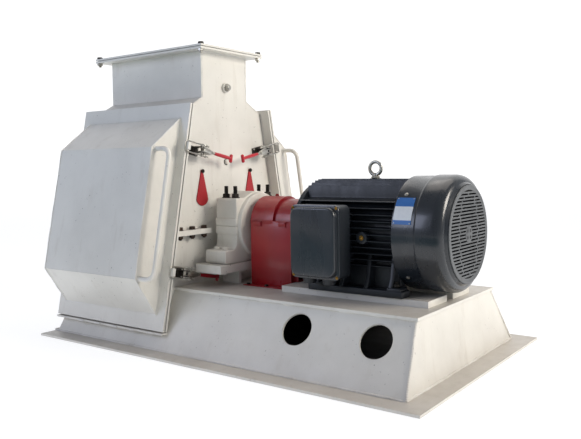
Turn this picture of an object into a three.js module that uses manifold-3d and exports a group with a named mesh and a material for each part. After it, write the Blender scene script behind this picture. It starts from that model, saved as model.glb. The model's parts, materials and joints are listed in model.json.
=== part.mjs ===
// Hammer mill with a direct-coupled motor on one welded base.
// Millimetres, +Z up. The shaft runs along +X from the mill to the motor, and the mill is the same on
// its front (-Y) and rear (+Y) sides. The exported group's origin is the centre of the footprint.
import * as THREE from "three";
import { mergeVertices } from "three/addons/utils/BufferGeometryUtils.js";
import Module from "manifold-3d";

const wasm = await Module();
wasm.setup();

// ---------- driving dimensions ----------
const GAP = 0.3; // between pieces that touch

const BASE_LENGTH = 2440;
const BASE_WIDTH = 1467;
const BASE_END_MARGIN = 55; // side plate to the base's -X end
const FLOOR_FLANGE_T = 12;
const BASE_HEIGHT = 319; // floor to the top of the top plate
const TOP_PLATE_T = 14;
const TOP_PLATE_LIP = 12; // overhang past the sloped walls
const BOX_WALL = 12;
const BOX_FOOT_HALF = 627; // half width of the sloped box at the floor
const BOX_TOP_HALF = 439;
const BOX_BACK_IN = 20; // box end to base end, -X
const BOX_FRONT_FOOT_IN = 113; // the same at +X, at the floor
const BOX_FRONT_TOP_IN = 156; // and under the top plate
const HAND_HOLE_R = 80;
const HAND_HOLE_AT = [1696, 2121]; // from the base's -X end
const HAND_HOLE_Z = 206;

const SHAFT_Z = 643;
const HOUSING_WIDTH = 772; // over the two side plates, along X
const SIDE_T = 16;
const LEAN = 0.2; // run over rise of the door faces
const SHOULDER_Z = 1305;
const SHOULDER_HALF = 332; // half width of the side plates at SHOULDER_Z
const SIDE_BOTTOM_Z = 101;
const SPOUT_HALF = 201; // half width of the spout, along Y
const SPOUT_FOOT_Z = 1377;
const SPOUT_TOP_Z = 1644;
const SHEET_T = 8;

const INLET_LENGTH = 912;
const INLET_WIDTH = 544;
const INLET_T = 11;
const INLET_BOLT_IN = 18; // bolt to flange edge
const INLET_BOLT_R = 7;

const FRAME_PROUD = 67; // door frame past the side plate, along X
const FRAME_T = 12;
const FRAME_RIM = 78; // width of the frame around its opening
const SEAL_T = 8;
const SEAL_W = 30;
const DOOR_T = 12;
const DOOR_BOTTOM_Z = 101;
const DOOR_TOP_Z = 1327;
const BULGE_HALF = 388; // half width of the door's bulge, along X
const BULGE_DEPTH = 181;
const BULGE_FOOT_IN = [84, 84]; // door edge to the bulge's foot, top and bottom
const BULGE_FACE_IN = [287, 265]; // door edge to the bulge's face, top and bottom
const BULGE_SKIN = 5;
const DOOR_SWING = 110;

const HANDLE_R = 13;
const HANDLE_STANDOFF = 110; // bulge side to the bar's centre line
const HANDLE_BEND_R = 32;
const HANDLE_FACE_IN = 27; // bar's centre line behind the bulge's face
const HANDLE_END_IN = 3; // bar ends below and above the face's edges

const HINGE_DROP = [250, 1020]; // hinge centres below the shoulder, along the door
const HINGE_OUT = 22; // pin past the door's -X edge
const HINGE_R = 15;
const HINGE_PIN_R = 7;
const HINGE_PIN_CLEAR = 0.4;
const HINGE_LEAF = 17; // half length of the door's knuckle
const HINGE_LEAF_GAP = 1;
const HINGE_ENDS = 22; // length of each frame knuckle

const LATCH_UPPER_DROP = 220; // upper latch line below the shoulder, along the door
const LATCH_FLOOR_CLEAR = 4.4; // lower lever's tee to the base top plate
const LATCH_PIVOT_IN = 75; // lever pivot behind the frame's inner face
const LATCH_PIVOT_OUT = 88; // lever pivot off the side plate
const LATCH_PIN_R = 5;
const LATCH_PIN_CLEAR = 0.4;
const LATCH_ARM = 28; // lever pivot to hook pivot
const LATCH_DEAD_CENTRE = 8; // how far the hook pivot goes past the centre line
const LATCH_REACH = 255; // lever pivot to the tee
const LATCH_TEE = 48;
const LATCH_GRIP_R = 10;
const LATCH_BAR_R = 4;
const LATCH_LEGS = 30; // half distance between the hook's legs
const LATCH_BITE = 2; // slack between the hook and the catch
const LATCH_CATCH_OUT = 32; // catch past the door's +X edge

const SPLIT_BAR_BELOW = [42, 13]; // bolted joint between the upper and lower housing, below the shaft
const SPLIT_BAR_DEPTH = 56;
const SPLIT_BAR_Y0 = 198;
const SPLIT_BAR_END_IN = 5; // bar's end to the side plate's edge
const SPLIT_BOLT_R = 11;

const PIN_RADIUS = 270; // hammer pin circle
const PIN_ROWS = 4;
const PIN_R = 12.5;
const ROTOR_DISC_R = 302;
const ROTOR_DISC_T = 12;
const ROTOR_DISC_X = [-300, -100, 100, 300];
const ROTOR_HUB_R = 78;
const SLEEVE_R = 19;
const SLEEVE_CLEAR = 0.6;
const HAMMER_REACH = 106;
const HAMMER_HEAD = 24;
const HAMMER_W = 46;
const HAMMER_T = 8;
const HAMMERS_PER_BAY = 3;

const SCREEN_R = 390;
const SCREEN_T = 3;
const SCREEN_FROM = -87; // degrees above horizontal where each half starts
const SCREEN_TO = 15; // and where it runs on straight
const SCREEN_STRAIGHT = 470;
const SCREEN_STEPS = 12;
const SCREEN_RAIL_T = 14;
const SCREEN_RAIL_W = 24;

const SHAFT_R = 55;
const JOURNAL_R = 45;
const SHAFT_END_R = 37;
const SHAFT_CLEAR = 1.5; // shaft to the openings it turns in
const ROLLER_R = 84; // rolling bearing on the journal
const ROLLER_W = 56;

const BEARING_X = 88; // side plate to bearing body
const BEARING_W = 150;
const BEARING_R = 192;
const BEARING_HALF = 190;
const BEARING_SHOULDER_Z = 157; // bolt shoulders above the shaft
const BEARING_FOOT_HALF = 288;
const BEARING_FOOT_T = 76;
const BEARING_HEIGHT = 203; // seat to shaft
const BEARING_BAND = 45; // half height of the raised joint band
const BEARING_COVER_R = 184;
const BEARING_COVER_T = 26;
const CAP_BOLT_R = 12;
const CAP_BOLT_DX = 34;
const CAP_BOLT_Y = 148;
const CAP_BOLT_H = 73;
const SEAT_PLATE_T = 45;
const SEAT_PLATE_HALF = 345;
const SEAT_BOLT_Y = 255;
const BRACKET_HALF = 200; // outboard bracket
const PEDESTAL_HALF = 165;
const SILL_OUT = 612; // front edge of the sill under each door, from the centre plane
const SILL_T = 10;

const PIN_HOLE_ANGLE = 37.4; // degrees above horizontal, on the hammer pin circle
const COVER_DROP = 148;
const COVER_R = 51;
const COVER_NECK_R = 9;
const COVER_T = 6;
const COVER_PIN_R = 5;
const PIN_HOLE_R = 30;

const PLUG_Z = 1007;
const PLUG_R = 13;
const FLAP_Z = 1447;
const FLAP_SHAFT_R = 14;
const FLAP_DROP = 160;
const FLAP_T = 8;
const FLAP_LEVER = 200;

const COUPLING_R = 100;
const COUPLING_W = 55;
const COUPLING_IN_GUARD = 54; // guard's mill end to the mill half
const COUPLING_SPACE = 6;

const GUARD_FROM_BEARING = 67;
const GUARD_LENGTH = 274;
const GUARD_HALF = 148;
const GUARD_RISE = 165; // top above the shaft
const GUARD_SPLIT_RISE = 35;
const GUARD_SKIN = 4;
const GUARD_FOOT = 50;
const GUARD_STEP_AT = 154; // mill end to where the round top steps down
const GUARD_STEP = 14;
const GUARD_COLLAR_HALF = 118;
const GUARD_COLLAR_LENGTH = 26;

const MOTOR_FROM_GUARD = 35; // guard to the motor's drive-end face
const MOTOR_HEIGHT = 293; // seat to shaft
const MOTOR_SHIELD = 70;
const MOTOR_FRAME_AT = 633; // drive-end face to the frame's far end, and so on for what follows
const MOTOR_CORE_R = 214;
const MOTOR_FIN_R = 263;
const MOTOR_FIN_T = 7;
const MOTOR_FIN_PITCH = 31;
const MOTOR_SHAFT_R = 32;
const MOTOR_FOOT_AT = [150, 680];
const MOTOR_FOOT_Y = [172, 256];
const MOTOR_FOOT_T = 34;
const PAD_AT = [-28, 805];
const PAD_Y = [36, 240];
const COWL_R = 283;
const COWL_SKIN = 4;
const COWL_STEP_AT = 750; // where the hood widens
const COWL_WIDEN = 5;
const COWL_TAPER_AT = 835;
const COWL_END_AT = 899;
const COWL_END_R = 236;
const GRILLE_T = 5;
const GRILLE_SLOTS = 21;
const FAN_R = 196;
const FAN_AT = 650;
const FAN_W = 90;
const FAN_BLADES = 7;
const TERMINAL_AT = [137, 411];
const TERMINAL_RISE = [-211, 142]; // foot and top of the box from the shaft
const TERMINAL_Y = [264, 362]; // back and front of the box body
const TERMINAL_LID_T = 38;
const TERMINAL_ROUND = 26;
const GLAND_R = 30;
const EYE_AT = 404;
const EYE_R = 33;
const EYE_WIRE_R = 9;

// ---------- values that follow from them ----------
// Radius of a bore whose flats keep a clearance round a bar of radius r.
const boreRadius = (r, clearance, sides) => (r + clearance) / Math.cos(Math.PI / sides);
const SIDE_OUT = HOUSING_WIDTH / 2;
const SIDE_IN = SIDE_OUT - SIDE_T;
const BASE_X0 = -(SIDE_OUT + BASE_END_MARGIN);
const BASE_X1 = BASE_X0 + BASE_LENGTH;
const BOX_X0 = BASE_X0 + BOX_BACK_IN;
const BOX_X1 = BASE_X1 - BOX_FRONT_FOOT_IN;
const BOX_TOP_X1 = BASE_X1 - BOX_FRONT_TOP_IN;
const BOX_Z0 = FLOOR_FLANGE_T + GAP;
const BOX_Z1 = BASE_HEIGHT - TOP_PLATE_T - GAP;
const BETA = Math.atan(LEAN);
const COS = Math.cos(BETA);
const FRAME_HALF = SIDE_OUT + FRAME_PROUD;
const STACK_DOOR = FRAME_T + SEAL_T; // frame's inner face to the door's inner face
const STACK = STACK_DOOR + DOOR_T;
const downSlope = (z) => (z - SHOULDER_Z) / COS; // height to distance along the door
const DOOR_W0 = downSlope(DOOR_BOTTOM_Z);
const DOOR_W1 = downSlope(DOOR_TOP_Z);
const faceHalf = (z) => SHOULDER_HALF + LEAN * (SHOULDER_Z - z); // side plate half width
const SPLIT_BAR_Z = SPLIT_BAR_BELOW.map((v) => SHAFT_Z - v);
const SPLIT_BAR_Y = [SPLIT_BAR_Y0, faceHalf(SPLIT_BAR_Z[1]) - SPLIT_BAR_END_IN];
const HAND_HOLE_X = HAND_HOLE_AT.map((v) => BASE_X0 + v);
const LATCH_DROP = [
  LATCH_UPPER_DROP,
  (SHOULDER_Z - BASE_HEIGHT - LATCH_FLOOR_CLEAR - (LATCH_PIVOT_IN + LATCH_REACH + LATCH_GRIP_R) * Math.sin(BETA)) / COS
    - LATCH_TEE / 2,
];
const PIN_HOLE_Y = PIN_RADIUS * Math.cos(THREE.MathUtils.degToRad(PIN_HOLE_ANGLE));
const PIN_HOLE_Z = SHAFT_Z + PIN_RADIUS * Math.sin(THREE.MathUtils.degToRad(PIN_HOLE_ANGLE));
const COVER_PIVOT = [PIN_HOLE_Y, PIN_HOLE_Z + COVER_DROP];
const BEARING_SEAT_Z = SHAFT_Z - BEARING_HEIGHT;
const MOTOR_SEAT_Z = SHAFT_Z - MOTOR_HEIGHT;
const JOURNAL_BORE = boreRadius(JOURNAL_R, SHAFT_CLEAR, 24);
const BEARING_OUT = SIDE_OUT + BEARING_X + BEARING_W;
const PART_X0 = -(BEARING_OUT + BEARING_COVER_T);
const GUARD_X = [BEARING_OUT + GUARD_FROM_BEARING, BEARING_OUT + GUARD_FROM_BEARING + GUARD_LENGTH];
const GUARD_STEP_X = GUARD_X[0] + GUARD_STEP_AT;
const GUARD_TOP_Z = SHAFT_Z + GUARD_RISE;
const GUARD_SPLIT_Z = SHAFT_Z + GUARD_SPLIT_RISE;
const COUPLING_X = GUARD_X[0] + COUPLING_IN_GUARD;
const MOTOR_X = GUARD_X[1] + MOTOR_FROM_GUARD;
const fromMotor = (v) => MOTOR_X + v;
const MOTOR_FRAME_END = fromMotor(MOTOR_FRAME_AT);
const MOTOR_FOOT_X = MOTOR_FOOT_AT.map(fromMotor);
const PAD_X = PAD_AT.map(fromMotor);
const COWL_STEP_X = fromMotor(COWL_STEP_AT);
const COWL_TAPER_X = fromMotor(COWL_TAPER_AT);
const COWL_END_X = fromMotor(COWL_END_AT);
const FAN_X = fromMotor(FAN_AT);
const TERMINAL_X = TERMINAL_AT.map(fromMotor);
const TERMINAL_Z = TERMINAL_RISE.map((v) => SHAFT_Z + v);
const EYE_X = fromMotor(EYE_AT);

// ---------- geometry helpers ----------
function solid(geometry, matrix) {
  const g = geometry.clone();
  for (const name of Object.keys(g.attributes)) if (name !== "position") g.deleteAttribute(name);
  if (matrix) g.applyMatrix4(matrix);
  const merged = mergeVertices(g, 1e-4);
  const p = merged.attributes.position.array;
  const all = merged.index.array;
  const kept = [];
  let volume = 0;
  for (let i = 0; i < all.length; i += 3) {
    const [a, b, c] = [all[i], all[i + 1], all[i + 2]];
    if (a === b || b === c || a === c) continue;
    kept.push(a, b, c);
    const [ax, ay, az] = p.slice(3 * a, 3 * a + 3);
    const [bx, by, bz] = p.slice(3 * b, 3 * b + 3);
    const [cx, cy, cz] = p.slice(3 * c, 3 * c + 3);
    volume += ax * (by * cz - bz * cy) - ay * (bx * cz - bz * cx) + az * (bx * cy - by * cx);
  }
  if (volume < 0) for (let i = 0; i < kept.length; i += 3) [kept[i + 1], kept[i + 2]] = [kept[i + 2], kept[i + 1]];
  const mesh = new wasm.Mesh({ numProp: 3, vertProperties: p, triVerts: new Uint32Array(kept) });
  return new wasm.Manifold(mesh);
}

const join = (...parts) => parts.flat().reduce((a, b) => a.add(b));
const cut = (body, ...tools) => tools.flat().reduce((a, b) => a.subtract(b), body);

function box(x0, x1, y0, y1, z0, z1) {
  const g = new THREE.BoxGeometry(x1 - x0, y1 - y0, z1 - z0);
  return solid(g, new THREE.Matrix4().makeTranslation((x0 + x1) / 2, (y0 + y1) / 2, (z0 + z1) / 2));
}

// A cylinder, or a cone, from point a to point b.
function rod(a, b, r, sides = 16, r2 = r) {
  const from = new THREE.Vector3(...a);
  const along = new THREE.Vector3(...b).sub(from);
  const g = new THREE.CylinderGeometry(r2, r, along.length(), sides);
  g.translate(0, along.length() / 2, 0);
  const turn = new THREE.Quaternion().setFromUnitVectors(new THREE.Vector3(0, 1, 0), along.clone().normalize());
  return solid(g, new THREE.Matrix4().compose(from, turn, new THREE.Vector3(1, 1, 1)));
}

// An outline in the Y-Z plane, carried from x0 to x1.
function alongX(outline, x0, x1, holes = []) {
  const shape = new THREE.Shape(outline.map(([y, z]) => new THREE.Vector2(y, z)));
  for (const hole of holes) shape.holes.push(new THREE.Path(hole.map(([y, z]) => new THREE.Vector2(y, z))));
  const g = new THREE.ExtrudeGeometry(shape, { depth: x1 - x0, bevelEnabled: false });
  const m = new THREE.Matrix4().makeBasis(
    new THREE.Vector3(0, 1, 0), new THREE.Vector3(0, 0, 1), new THREE.Vector3(1, 0, 0));
  return solid(g, m.setPosition(x0, 0, 0));
}

// A profile of [x, radius] points, turned about the line through (y, z) along X.
function turned(profile, z = 0, sides = 24) {
  const points = [...profile, profile[0]].map(([x, r]) => new THREE.Vector2(r, x));
  const m = new THREE.Matrix4().makeBasis(
    new THREE.Vector3(0, 1, 0), new THREE.Vector3(1, 0, 0), new THREE.Vector3(0, 0, -1));
  return solid(new THREE.LatheGeometry(points, sides), m.setPosition(0, 0, z));
}

// A box whose foot and top are different rectangles: [x0, x1, half width] at z0 and z1.
function frustum([fx0, fx1, fy], [tx0, tx1, ty], z0, z1) {
  const g = new THREE.BoxGeometry(1, 1, 1);
  const p = g.attributes.position;
  for (let i = 0; i < p.count; i++) {
    const top = p.getZ(i) > 0;
    const [x0, x1, half] = top ? [tx0, tx1, ty] : [fx0, fx1, fy];
    p.setXYZ(i, p.getX(i) > 0 ? x1 : x0, p.getY(i) > 0 ? half : -half, top ? z1 : z0);
  }
  return solid(g);
}

function arc(cy, cz, r, fromDeg, toDeg, steps) {
  return Array.from({ length: steps + 1 }, (_, i) => {
    const t = THREE.MathUtils.degToRad(fromDeg + ((toDeg - fromDeg) * i) / steps);
    return [cy + r * Math.cos(t), cz + r * Math.sin(t)];
  });
}
const circle = (cy, cz, r, steps = 24) => arc(cy, cz, r, 0, 360, steps).slice(0, -1);
const flipY = (outline) => outline.map(([y, z]) => [-y, z]);
// A round bar through points in space, with rounded corners.
function bentBar(points, r, bend, sides = 10) {
  const v = points.map((p) => new THREE.Vector3(...p));
  const path = new THREE.CurvePath();
  let from = v[0];
  for (let i = 1; i < v.length - 1; i++) {
    const a = v[i].clone().addScaledVector(v[i - 1].clone().sub(v[i]).normalize(), bend);
    const b = v[i].clone().addScaledVector(v[i + 1].clone().sub(v[i]).normalize(), bend);
    path.add(new THREE.LineCurve3(from, a));
    path.add(new THREE.QuadraticBezierCurve3(a, v[i], b));
    from = b;
  }
  path.add(new THREE.LineCurve3(from, v[v.length - 1]));
  const ring = new THREE.Shape(circle(0, 0, r, sides).map(([x, y]) => new THREE.Vector2(x, y)));
  const steps = 26;
  return solid(new THREE.ExtrudeGeometry(ring, { steps, extrudePath: path }));
}

// ---------- scene graph ----------
const PAINT = { color: 0xe2e0d8, roughness: 0.45, metalness: 0 };
const RED = { color: 0x9a1420, roughness: 0.4, metalness: 0 };
const MOTOR_PAINT = { color: 0x242a31, roughness: 0.5, metalness: 0 };
const ZINC = { color: 0xb4b4ae, roughness: 0.35, metalness: 1 };
const STEEL = { color: 0x6d6c69, roughness: 0.5, metalness: 1 };
const RUBBER = { color: 0x1b1b1c, roughness: 0.8, metalness: 0 };
const IRON = { color: 0x3a3836, roughness: 0.6, metalness: 0.8 };
const CAST_PAINT = { color: 0xd6d3ca, roughness: 0.5, metalness: 0 };
const RIM_GREY = { color: 0x55585b, roughness: 0.5, metalness: 0 };

const mill = new THREE.Group();
const sides = { front: new THREE.Group(), rear: new THREE.Group() };
sides.rear.scale.y = -1; // the rear is the front seen in a mirror
const doorPlanes = {};
for (const [name, group] of Object.entries(sides)) {
  mill.add(group);
  // In this frame +Y runs into the housing, and +Z runs up the leaning door.
  const plane = new THREE.Group();
  plane.position.set(0, -SHOULDER_HALF, SHOULDER_Z);
  plane.rotation.x = -BETA;
  group.add(plane);
  doorPlanes[name] = plane;
}

function place(parent, name, body, finish) {
  const m = body.getMesh();
  const g = new THREE.BufferGeometry();
  g.setAttribute("position", new THREE.BufferAttribute(new Float32Array(m.vertProperties), 3));
  g.setIndex(new THREE.BufferAttribute(new Uint32Array(m.triVerts), 1));
  g.computeVertexNormals();
  const mesh = new THREE.Mesh(g, new THREE.MeshStandardMaterial({ ...finish, flatShading: true }));
  mesh.name = name;
  parent.add(mesh);
}

// ---------- base ----------
function floorFlange() {
  const half = BASE_WIDTH / 2;
  const plate = box(BASE_X0, BASE_X1, -half, half, 0, FLOOR_FLANGE_T);
  const openHalf = faceHalf(SIDE_BOTTOM_Z) - FRAME_RIM;
  return cut(plate, box(-SIDE_IN, SIDE_IN, -openHalf, openHalf, -1, FLOOR_FLANGE_T + 1));
}

function baseShell() {
  const outer = frustum([BOX_X0, BOX_X1, BOX_FOOT_HALF], [BOX_X0, BOX_TOP_X1, BOX_TOP_HALF], BOX_Z0, BOX_Z1);
  const w = BOX_WALL;
  const inner = frustum([BOX_X0 + w, BOX_X1 - w, BOX_FOOT_HALF - w],
    [BOX_X0 + w, BOX_TOP_X1 - w, BOX_TOP_HALF - w], BOX_Z0 - 1, BOX_Z1 + 1);
  const room = SIDE_OUT + GAP;
  const chamber = box(-room, room, -BASE_WIDTH, BASE_WIDTH, SIDE_BOTTOM_Z - GAP, BOX_Z1 + 1);
  const slope = (BOX_FOOT_HALF - BOX_TOP_HALF) / (BOX_Z1 - BOX_Z0);
  const wallHalf = BOX_FOOT_HALF - slope * (HAND_HOLE_Z - BOX_Z0);
  const n = new THREE.Vector2(1, slope).normalize().multiplyScalar(4 * BOX_WALL);
  const holes = HAND_HOLE_X.flatMap((x) => [-1, 1].map((s) => rod(
    [x, s * (wallHalf - n.x), HAND_HOLE_Z - n.y], [x, s * (wallHalf + n.x), HAND_HOLE_Z + n.y], HAND_HOLE_R, 28)));
  const top = SIDE_BOTTOM_Z - 3 * GAP;
  const sills = [-1, 1].map((s) => box(-FRAME_HALF, FRAME_HALF,
    ...[s * (BOX_FOOT_HALF - 68), s * SILL_OUT].sort((a, b) => a - b), top - SILL_T, top));
  return cut(join(cut(outer, inner), sills), chamber, holes);
}

function baseTopPlate() {
  const half = BOX_TOP_HALF + TOP_PLATE_LIP;
  const z0 = BASE_HEIGHT - TOP_PLATE_T;
  const plate = box(SIDE_OUT + GAP, BOX_TOP_X1 + TOP_PLATE_LIP, -half, half, z0, BASE_HEIGHT);
  const pads = [-1, 1].map((s) => box(...PAD_X, ...(s > 0 ? PAD_Y : [-PAD_Y[1], -PAD_Y[0]]), z0, MOTOR_SEAT_Z));
  return join(plate, pads);
}

const boltX = () => [-1, 1].map((s) => SIDE_OUT + BEARING_X + BEARING_W / 2 + s * CAP_BOLT_DX * 0.92);

function seatPlate() {
  const x0 = SIDE_OUT + BEARING_X - 20;
  const z0 = BEARING_SEAT_Z - SEAT_PLATE_T - GAP;
  const plate = box(x0, BEARING_OUT + 16, -SEAT_PLATE_HALF, SEAT_PLATE_HALF, z0, BEARING_SEAT_Z - GAP);
  const heads = boltX().flatMap((x) => [-1, 1].map((s) =>
    rod([x, s * SEAT_BOLT_Y, z0 + 1], [x, s * SEAT_BOLT_Y, z0 - 18], 15, 6)));
  return join(plate, heads);
}

function pedestalDrive() {
  const [x0, x1] = [SIDE_OUT + BEARING_X + 20, BEARING_OUT - 10];
  const z1 = BEARING_SEAT_Z - SEAT_PLATE_T;
  const half = PEDESTAL_HALF;
  const outer = box(x0, x1, -half, half, BASE_HEIGHT + GAP, z1);
  const inner = box(x0 - 1, x1 + 1, -half + 20, half - 20, BASE_HEIGHT, z1 - 12);
  const web = box(x0 + 20, x0 + 34, -half + 1, half - 1, BASE_HEIGHT + GAP, z1);
  return join(seatPlate(), cut(outer, inner), web);
}

function bracketOutboard() {
  const wall = BOX_X0 - GAP;
  const end = -(BEARING_OUT + 10);
  const z1 = BEARING_SEAT_Z - SEAT_PLATE_T;
  const half = BRACKET_HALF;
  const plate = seatPlate().mirror([1, 0, 0]);
  const back = box(wall - 14, wall, -half, half, 60, z1 + 1);
  const gusset = [[wall, 60], [wall, z1 + 1], [end, z1 + 1], [end, z1 - 60]];
  const shape = new THREE.Shape(gusset.map(([x, z]) => new THREE.Vector2(x, z)));
  const g = new THREE.ExtrudeGeometry(shape, { depth: 14, bevelEnabled: false });
  const stand = new THREE.Matrix4().makeBasis(
    new THREE.Vector3(1, 0, 0), new THREE.Vector3(0, 0, 1), new THREE.Vector3(0, -1, 0));
  const webs = [-half + 14, 7, half].map((y) => solid(g, stand.clone().setPosition(0, y, 0)));
  return join(plate, back, webs);
}

place(mill, "floor_flange", floorFlange(), PAINT);
place(mill, "base_shell", baseShell(), PAINT);
place(mill, "base_top_plate", baseTopPlate(), PAINT);
place(mill, "pedestal_drive", pedestalDrive(), PAINT);
place(mill, "bracket_outboard", bracketOutboard(), PAINT);

// ---------- housing ----------
function sideOutline() {
  const foot = SIDE_BOTTOM_Z;
  const half = [
    [faceHalf(foot) - GAP, foot],
    [SHOULDER_HALF - GAP, SHOULDER_Z],
    [SPOUT_HALF - SHEET_T - GAP, SPOUT_FOOT_Z],
    [SPOUT_HALF - SHEET_T - GAP, SPOUT_TOP_Z - GAP],
  ];
  // the shoulder sheet lies on the plate's edge, so that edge sits one sheet lower
  half[1][0] -= SHEET_T;
  return [...half, ...flipY(half).reverse()];
}

// The water-drop curve that the screens follow, at radius r, on the +Y side.
function screenCurve(r) {
  const points = arc(0, SHAFT_Z, r, SCREEN_FROM, SCREEN_TO, SCREEN_STEPS);
  const t = THREE.MathUtils.degToRad(SCREEN_TO);
  const [y, z] = points[points.length - 1];
  return [...points, [y - SCREEN_STRAIGHT * Math.sin(t), z + SCREEN_STRAIGHT * Math.cos(t)]];
}

function sidePlate(drive) {
  const holes = [circle(0, SHAFT_Z, JOURNAL_BORE, 24), circle(0, FLAP_Z, boreRadius(FLAP_SHAFT_R, 1, 16), 16)];
  if (drive) holes.push(circle(PIN_HOLE_Y, PIN_HOLE_Z, PIN_HOLE_R, 16), circle(-PIN_HOLE_Y, PIN_HOLE_Z, PIN_HOLE_R, 16));
  const plate = alongX(sideOutline(), SIDE_IN, SIDE_OUT, holes);
  const seal = turned([[SIDE_OUT - 1, JOURNAL_BORE], [SIDE_OUT + 14, JOURNAL_BORE],
    [SIDE_OUT + 14, 96], [SIDE_OUT - 1, 96]], SHAFT_Z);
  const railIn = SCREEN_R + SCREEN_T + 1;
  const outer = screenCurve(railIn + SCREEN_RAIL_W);
  const within = alongX(sideOutline(), SIDE_IN - SCREEN_RAIL_T, SIDE_IN + 1);
  const rail = alongX([...screenCurve(railIn), ...outer.reverse()], SIDE_IN - SCREEN_RAIL_T, SIDE_IN + 1).intersect(within);
  const bars = [-1, 1].map((s) => {
    const y = SPLIT_BAR_Y.map((v) => s * v).sort((a, b) => a - b);
    return box(SIDE_OUT - 1, SIDE_OUT + SPLIT_BAR_DEPTH, ...y, ...SPLIT_BAR_Z);
  });
  const bolts = [-1, 1].flatMap((s) => [0.14, 0.5, 0.86].map((t) => {
    const y = s * THREE.MathUtils.lerp(...SPLIT_BAR_Y, t);
    const x = SIDE_OUT + SPLIT_BAR_DEPTH * 0.55;
    return rod([x, y, SPLIT_BAR_Z[0] - 16], [x, y, SPLIT_BAR_Z[1] + 14], SPLIT_BOLT_R, 6);
  }));
  const pieces = [plate, seal, rail, rail.mirror([0, 1, 0]), ...bars, ...bolts];
  if (drive) {
    for (const s of [-1, 1]) {
      const y = s * COVER_PIVOT[0];
      const head = SIDE_OUT + COVER_T + 2;
      pieces.push(rod([SIDE_OUT - 2, y, COVER_PIVOT[1]], [head + 6, y, COVER_PIVOT[1]], COVER_PIN_R, 8));
      pieces.push(rod([head, y, COVER_PIVOT[1]], [head + 8, y, COVER_PIVOT[1]], 10, 6));
    }
  }
  return join(pieces);
}

function shoulderSheet() {
  const [y0, y1, t] = [SPOUT_HALF, SHOULDER_HALF, SHEET_T];
  const outline = [[y0 - t, SPOUT_TOP_Z - GAP], [y0, SPOUT_TOP_Z - GAP], [y0, SPOUT_FOOT_Z + 2],
    [y1 - 2, SHOULDER_Z + 3], [y1 - 2 - t, SHOULDER_Z + 3], [y0 - t, SPOUT_FOOT_Z + GAP]];
  return alongX(flipY(outline), -SIDE_OUT, SIDE_OUT);
}

function inletBolts() {
  const [x, y] = [INLET_LENGTH / 2 - INLET_BOLT_IN, INLET_WIDTH / 2 - INLET_BOLT_IN];
  return [[-x, -y], [x, -y], [x, y], [-x, y]];
}

function inletFlange() {
  const [x, y] = [INLET_LENGTH / 2, INLET_WIDTH / 2];
  const plate = box(-x, x, -y, y, SPOUT_TOP_Z, SPOUT_TOP_Z + INLET_T);
  const throat = box(-SIDE_IN, SIDE_IN, -SPOUT_HALF + SHEET_T, SPOUT_HALF - SHEET_T, SPOUT_TOP_Z - 1, SPOUT_TOP_Z + 50);
  const holes = inletBolts().map(([bx, by]) =>
    rod([bx, by, SPOUT_TOP_Z - 1], [bx, by, SPOUT_TOP_Z + INLET_T + 1], INLET_BOLT_R + 1.5, 8));
  return cut(plate, throat, holes);
}

// The mating flange of the feeder chute, with the bolts that hold it.
function inletCounterFlange() {
  const [x, y] = [INLET_LENGTH / 2, INLET_WIDTH / 2];
  const z0 = SPOUT_TOP_Z + INLET_T + 4;
  const plate = box(-x, x, -y, y, z0, z0 + INLET_T);
  const throat = box(-SIDE_IN, SIDE_IN, -SPOUT_HALF + SHEET_T, SPOUT_HALF - SHEET_T, z0 - 1, z0 + INLET_T + 1);
  const bolts = inletBolts().flatMap(([bx, by]) => [
    rod([bx, by, SPOUT_TOP_Z - 22], [bx, by, z0 + INLET_T], INLET_BOLT_R, 8),
    rod([bx, by, SPOUT_TOP_Z - 14], [bx, by, SPOUT_TOP_Z - GAP], INLET_BOLT_R * 1.9, 6),
    rod([bx, by, z0 + INLET_T - 1], [bx, by, z0 + INLET_T + 10], INLET_BOLT_R * 1.9, 6),
  ]);
  return join(cut(plate, throat), bolts);
}

function feedFlap() {
  const shaft = rod([-SIDE_OUT - 46, 0, FLAP_Z], [SIDE_OUT + 12, 0, FLAP_Z], FLAP_SHAFT_R, 12);
  const half = SIDE_IN - 6;
  const plate = box(-half, half, -FLAP_T / 2, FLAP_T / 2, FLAP_Z - FLAP_DROP, FLAP_Z);
  const boss = rod([SIDE_OUT + GAP * 3, 0, FLAP_Z], [SIDE_OUT + 16, 0, FLAP_Z], 28, 20);
  const nut = rod([SIDE_OUT + 15, 0, FLAP_Z], [SIDE_OUT + 27, 0, FLAP_Z], 17, 6);
  const x = -SIDE_OUT - 34;
  const lever = box(x - 12, x, -14, 14, FLAP_Z - FLAP_LEVER, FLAP_Z + 20);
  const knob = rod([x + 4, 0, FLAP_Z - FLAP_LEVER + 10], [x - 50, 0, FLAP_Z - FLAP_LEVER + 10], 14, 14);
  return join(shaft, plate, boss, nut, lever, knob);
}

function screen() {
  const outer = screenCurve(SCREEN_R + SCREEN_T);
  const end = SIDE_IN - 2;
  return alongX(flipY([...screenCurve(SCREEN_R), ...outer.reverse()]), -end, end).intersect(alongX(sideOutline(), -end, end));
}

place(mill, "side_plate_drive", sidePlate(true), PAINT);
place(mill, "side_plate_outboard", sidePlate(false).mirror([1, 0, 0]), PAINT);
place(mill, "inlet_flange", inletFlange(), PAINT);
place(mill, "inlet_counter_flange", inletCounterFlange(), PAINT);
place(mill, "feed_flap", feedFlap(), PAINT);
const SIDE_PLUG = rod([SIDE_OUT + GAP, 0, PLUG_Z], [SIDE_OUT + 15, 0, PLUG_Z], PLUG_R, 20);
place(mill, "side_plug", SIDE_PLUG, PAINT);
for (const [name, group] of Object.entries(sides)) {
  place(group, "upper_casing_" + name, shoulderSheet(), PAINT);
  place(group, "screen_" + name, screen(), STEEL);
}

// ---------- doors, in the leaning frame of the door plane ----------
const OPEN_HALF = FRAME_HALF - FRAME_RIM - FRAME_PROUD / 2;

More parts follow.
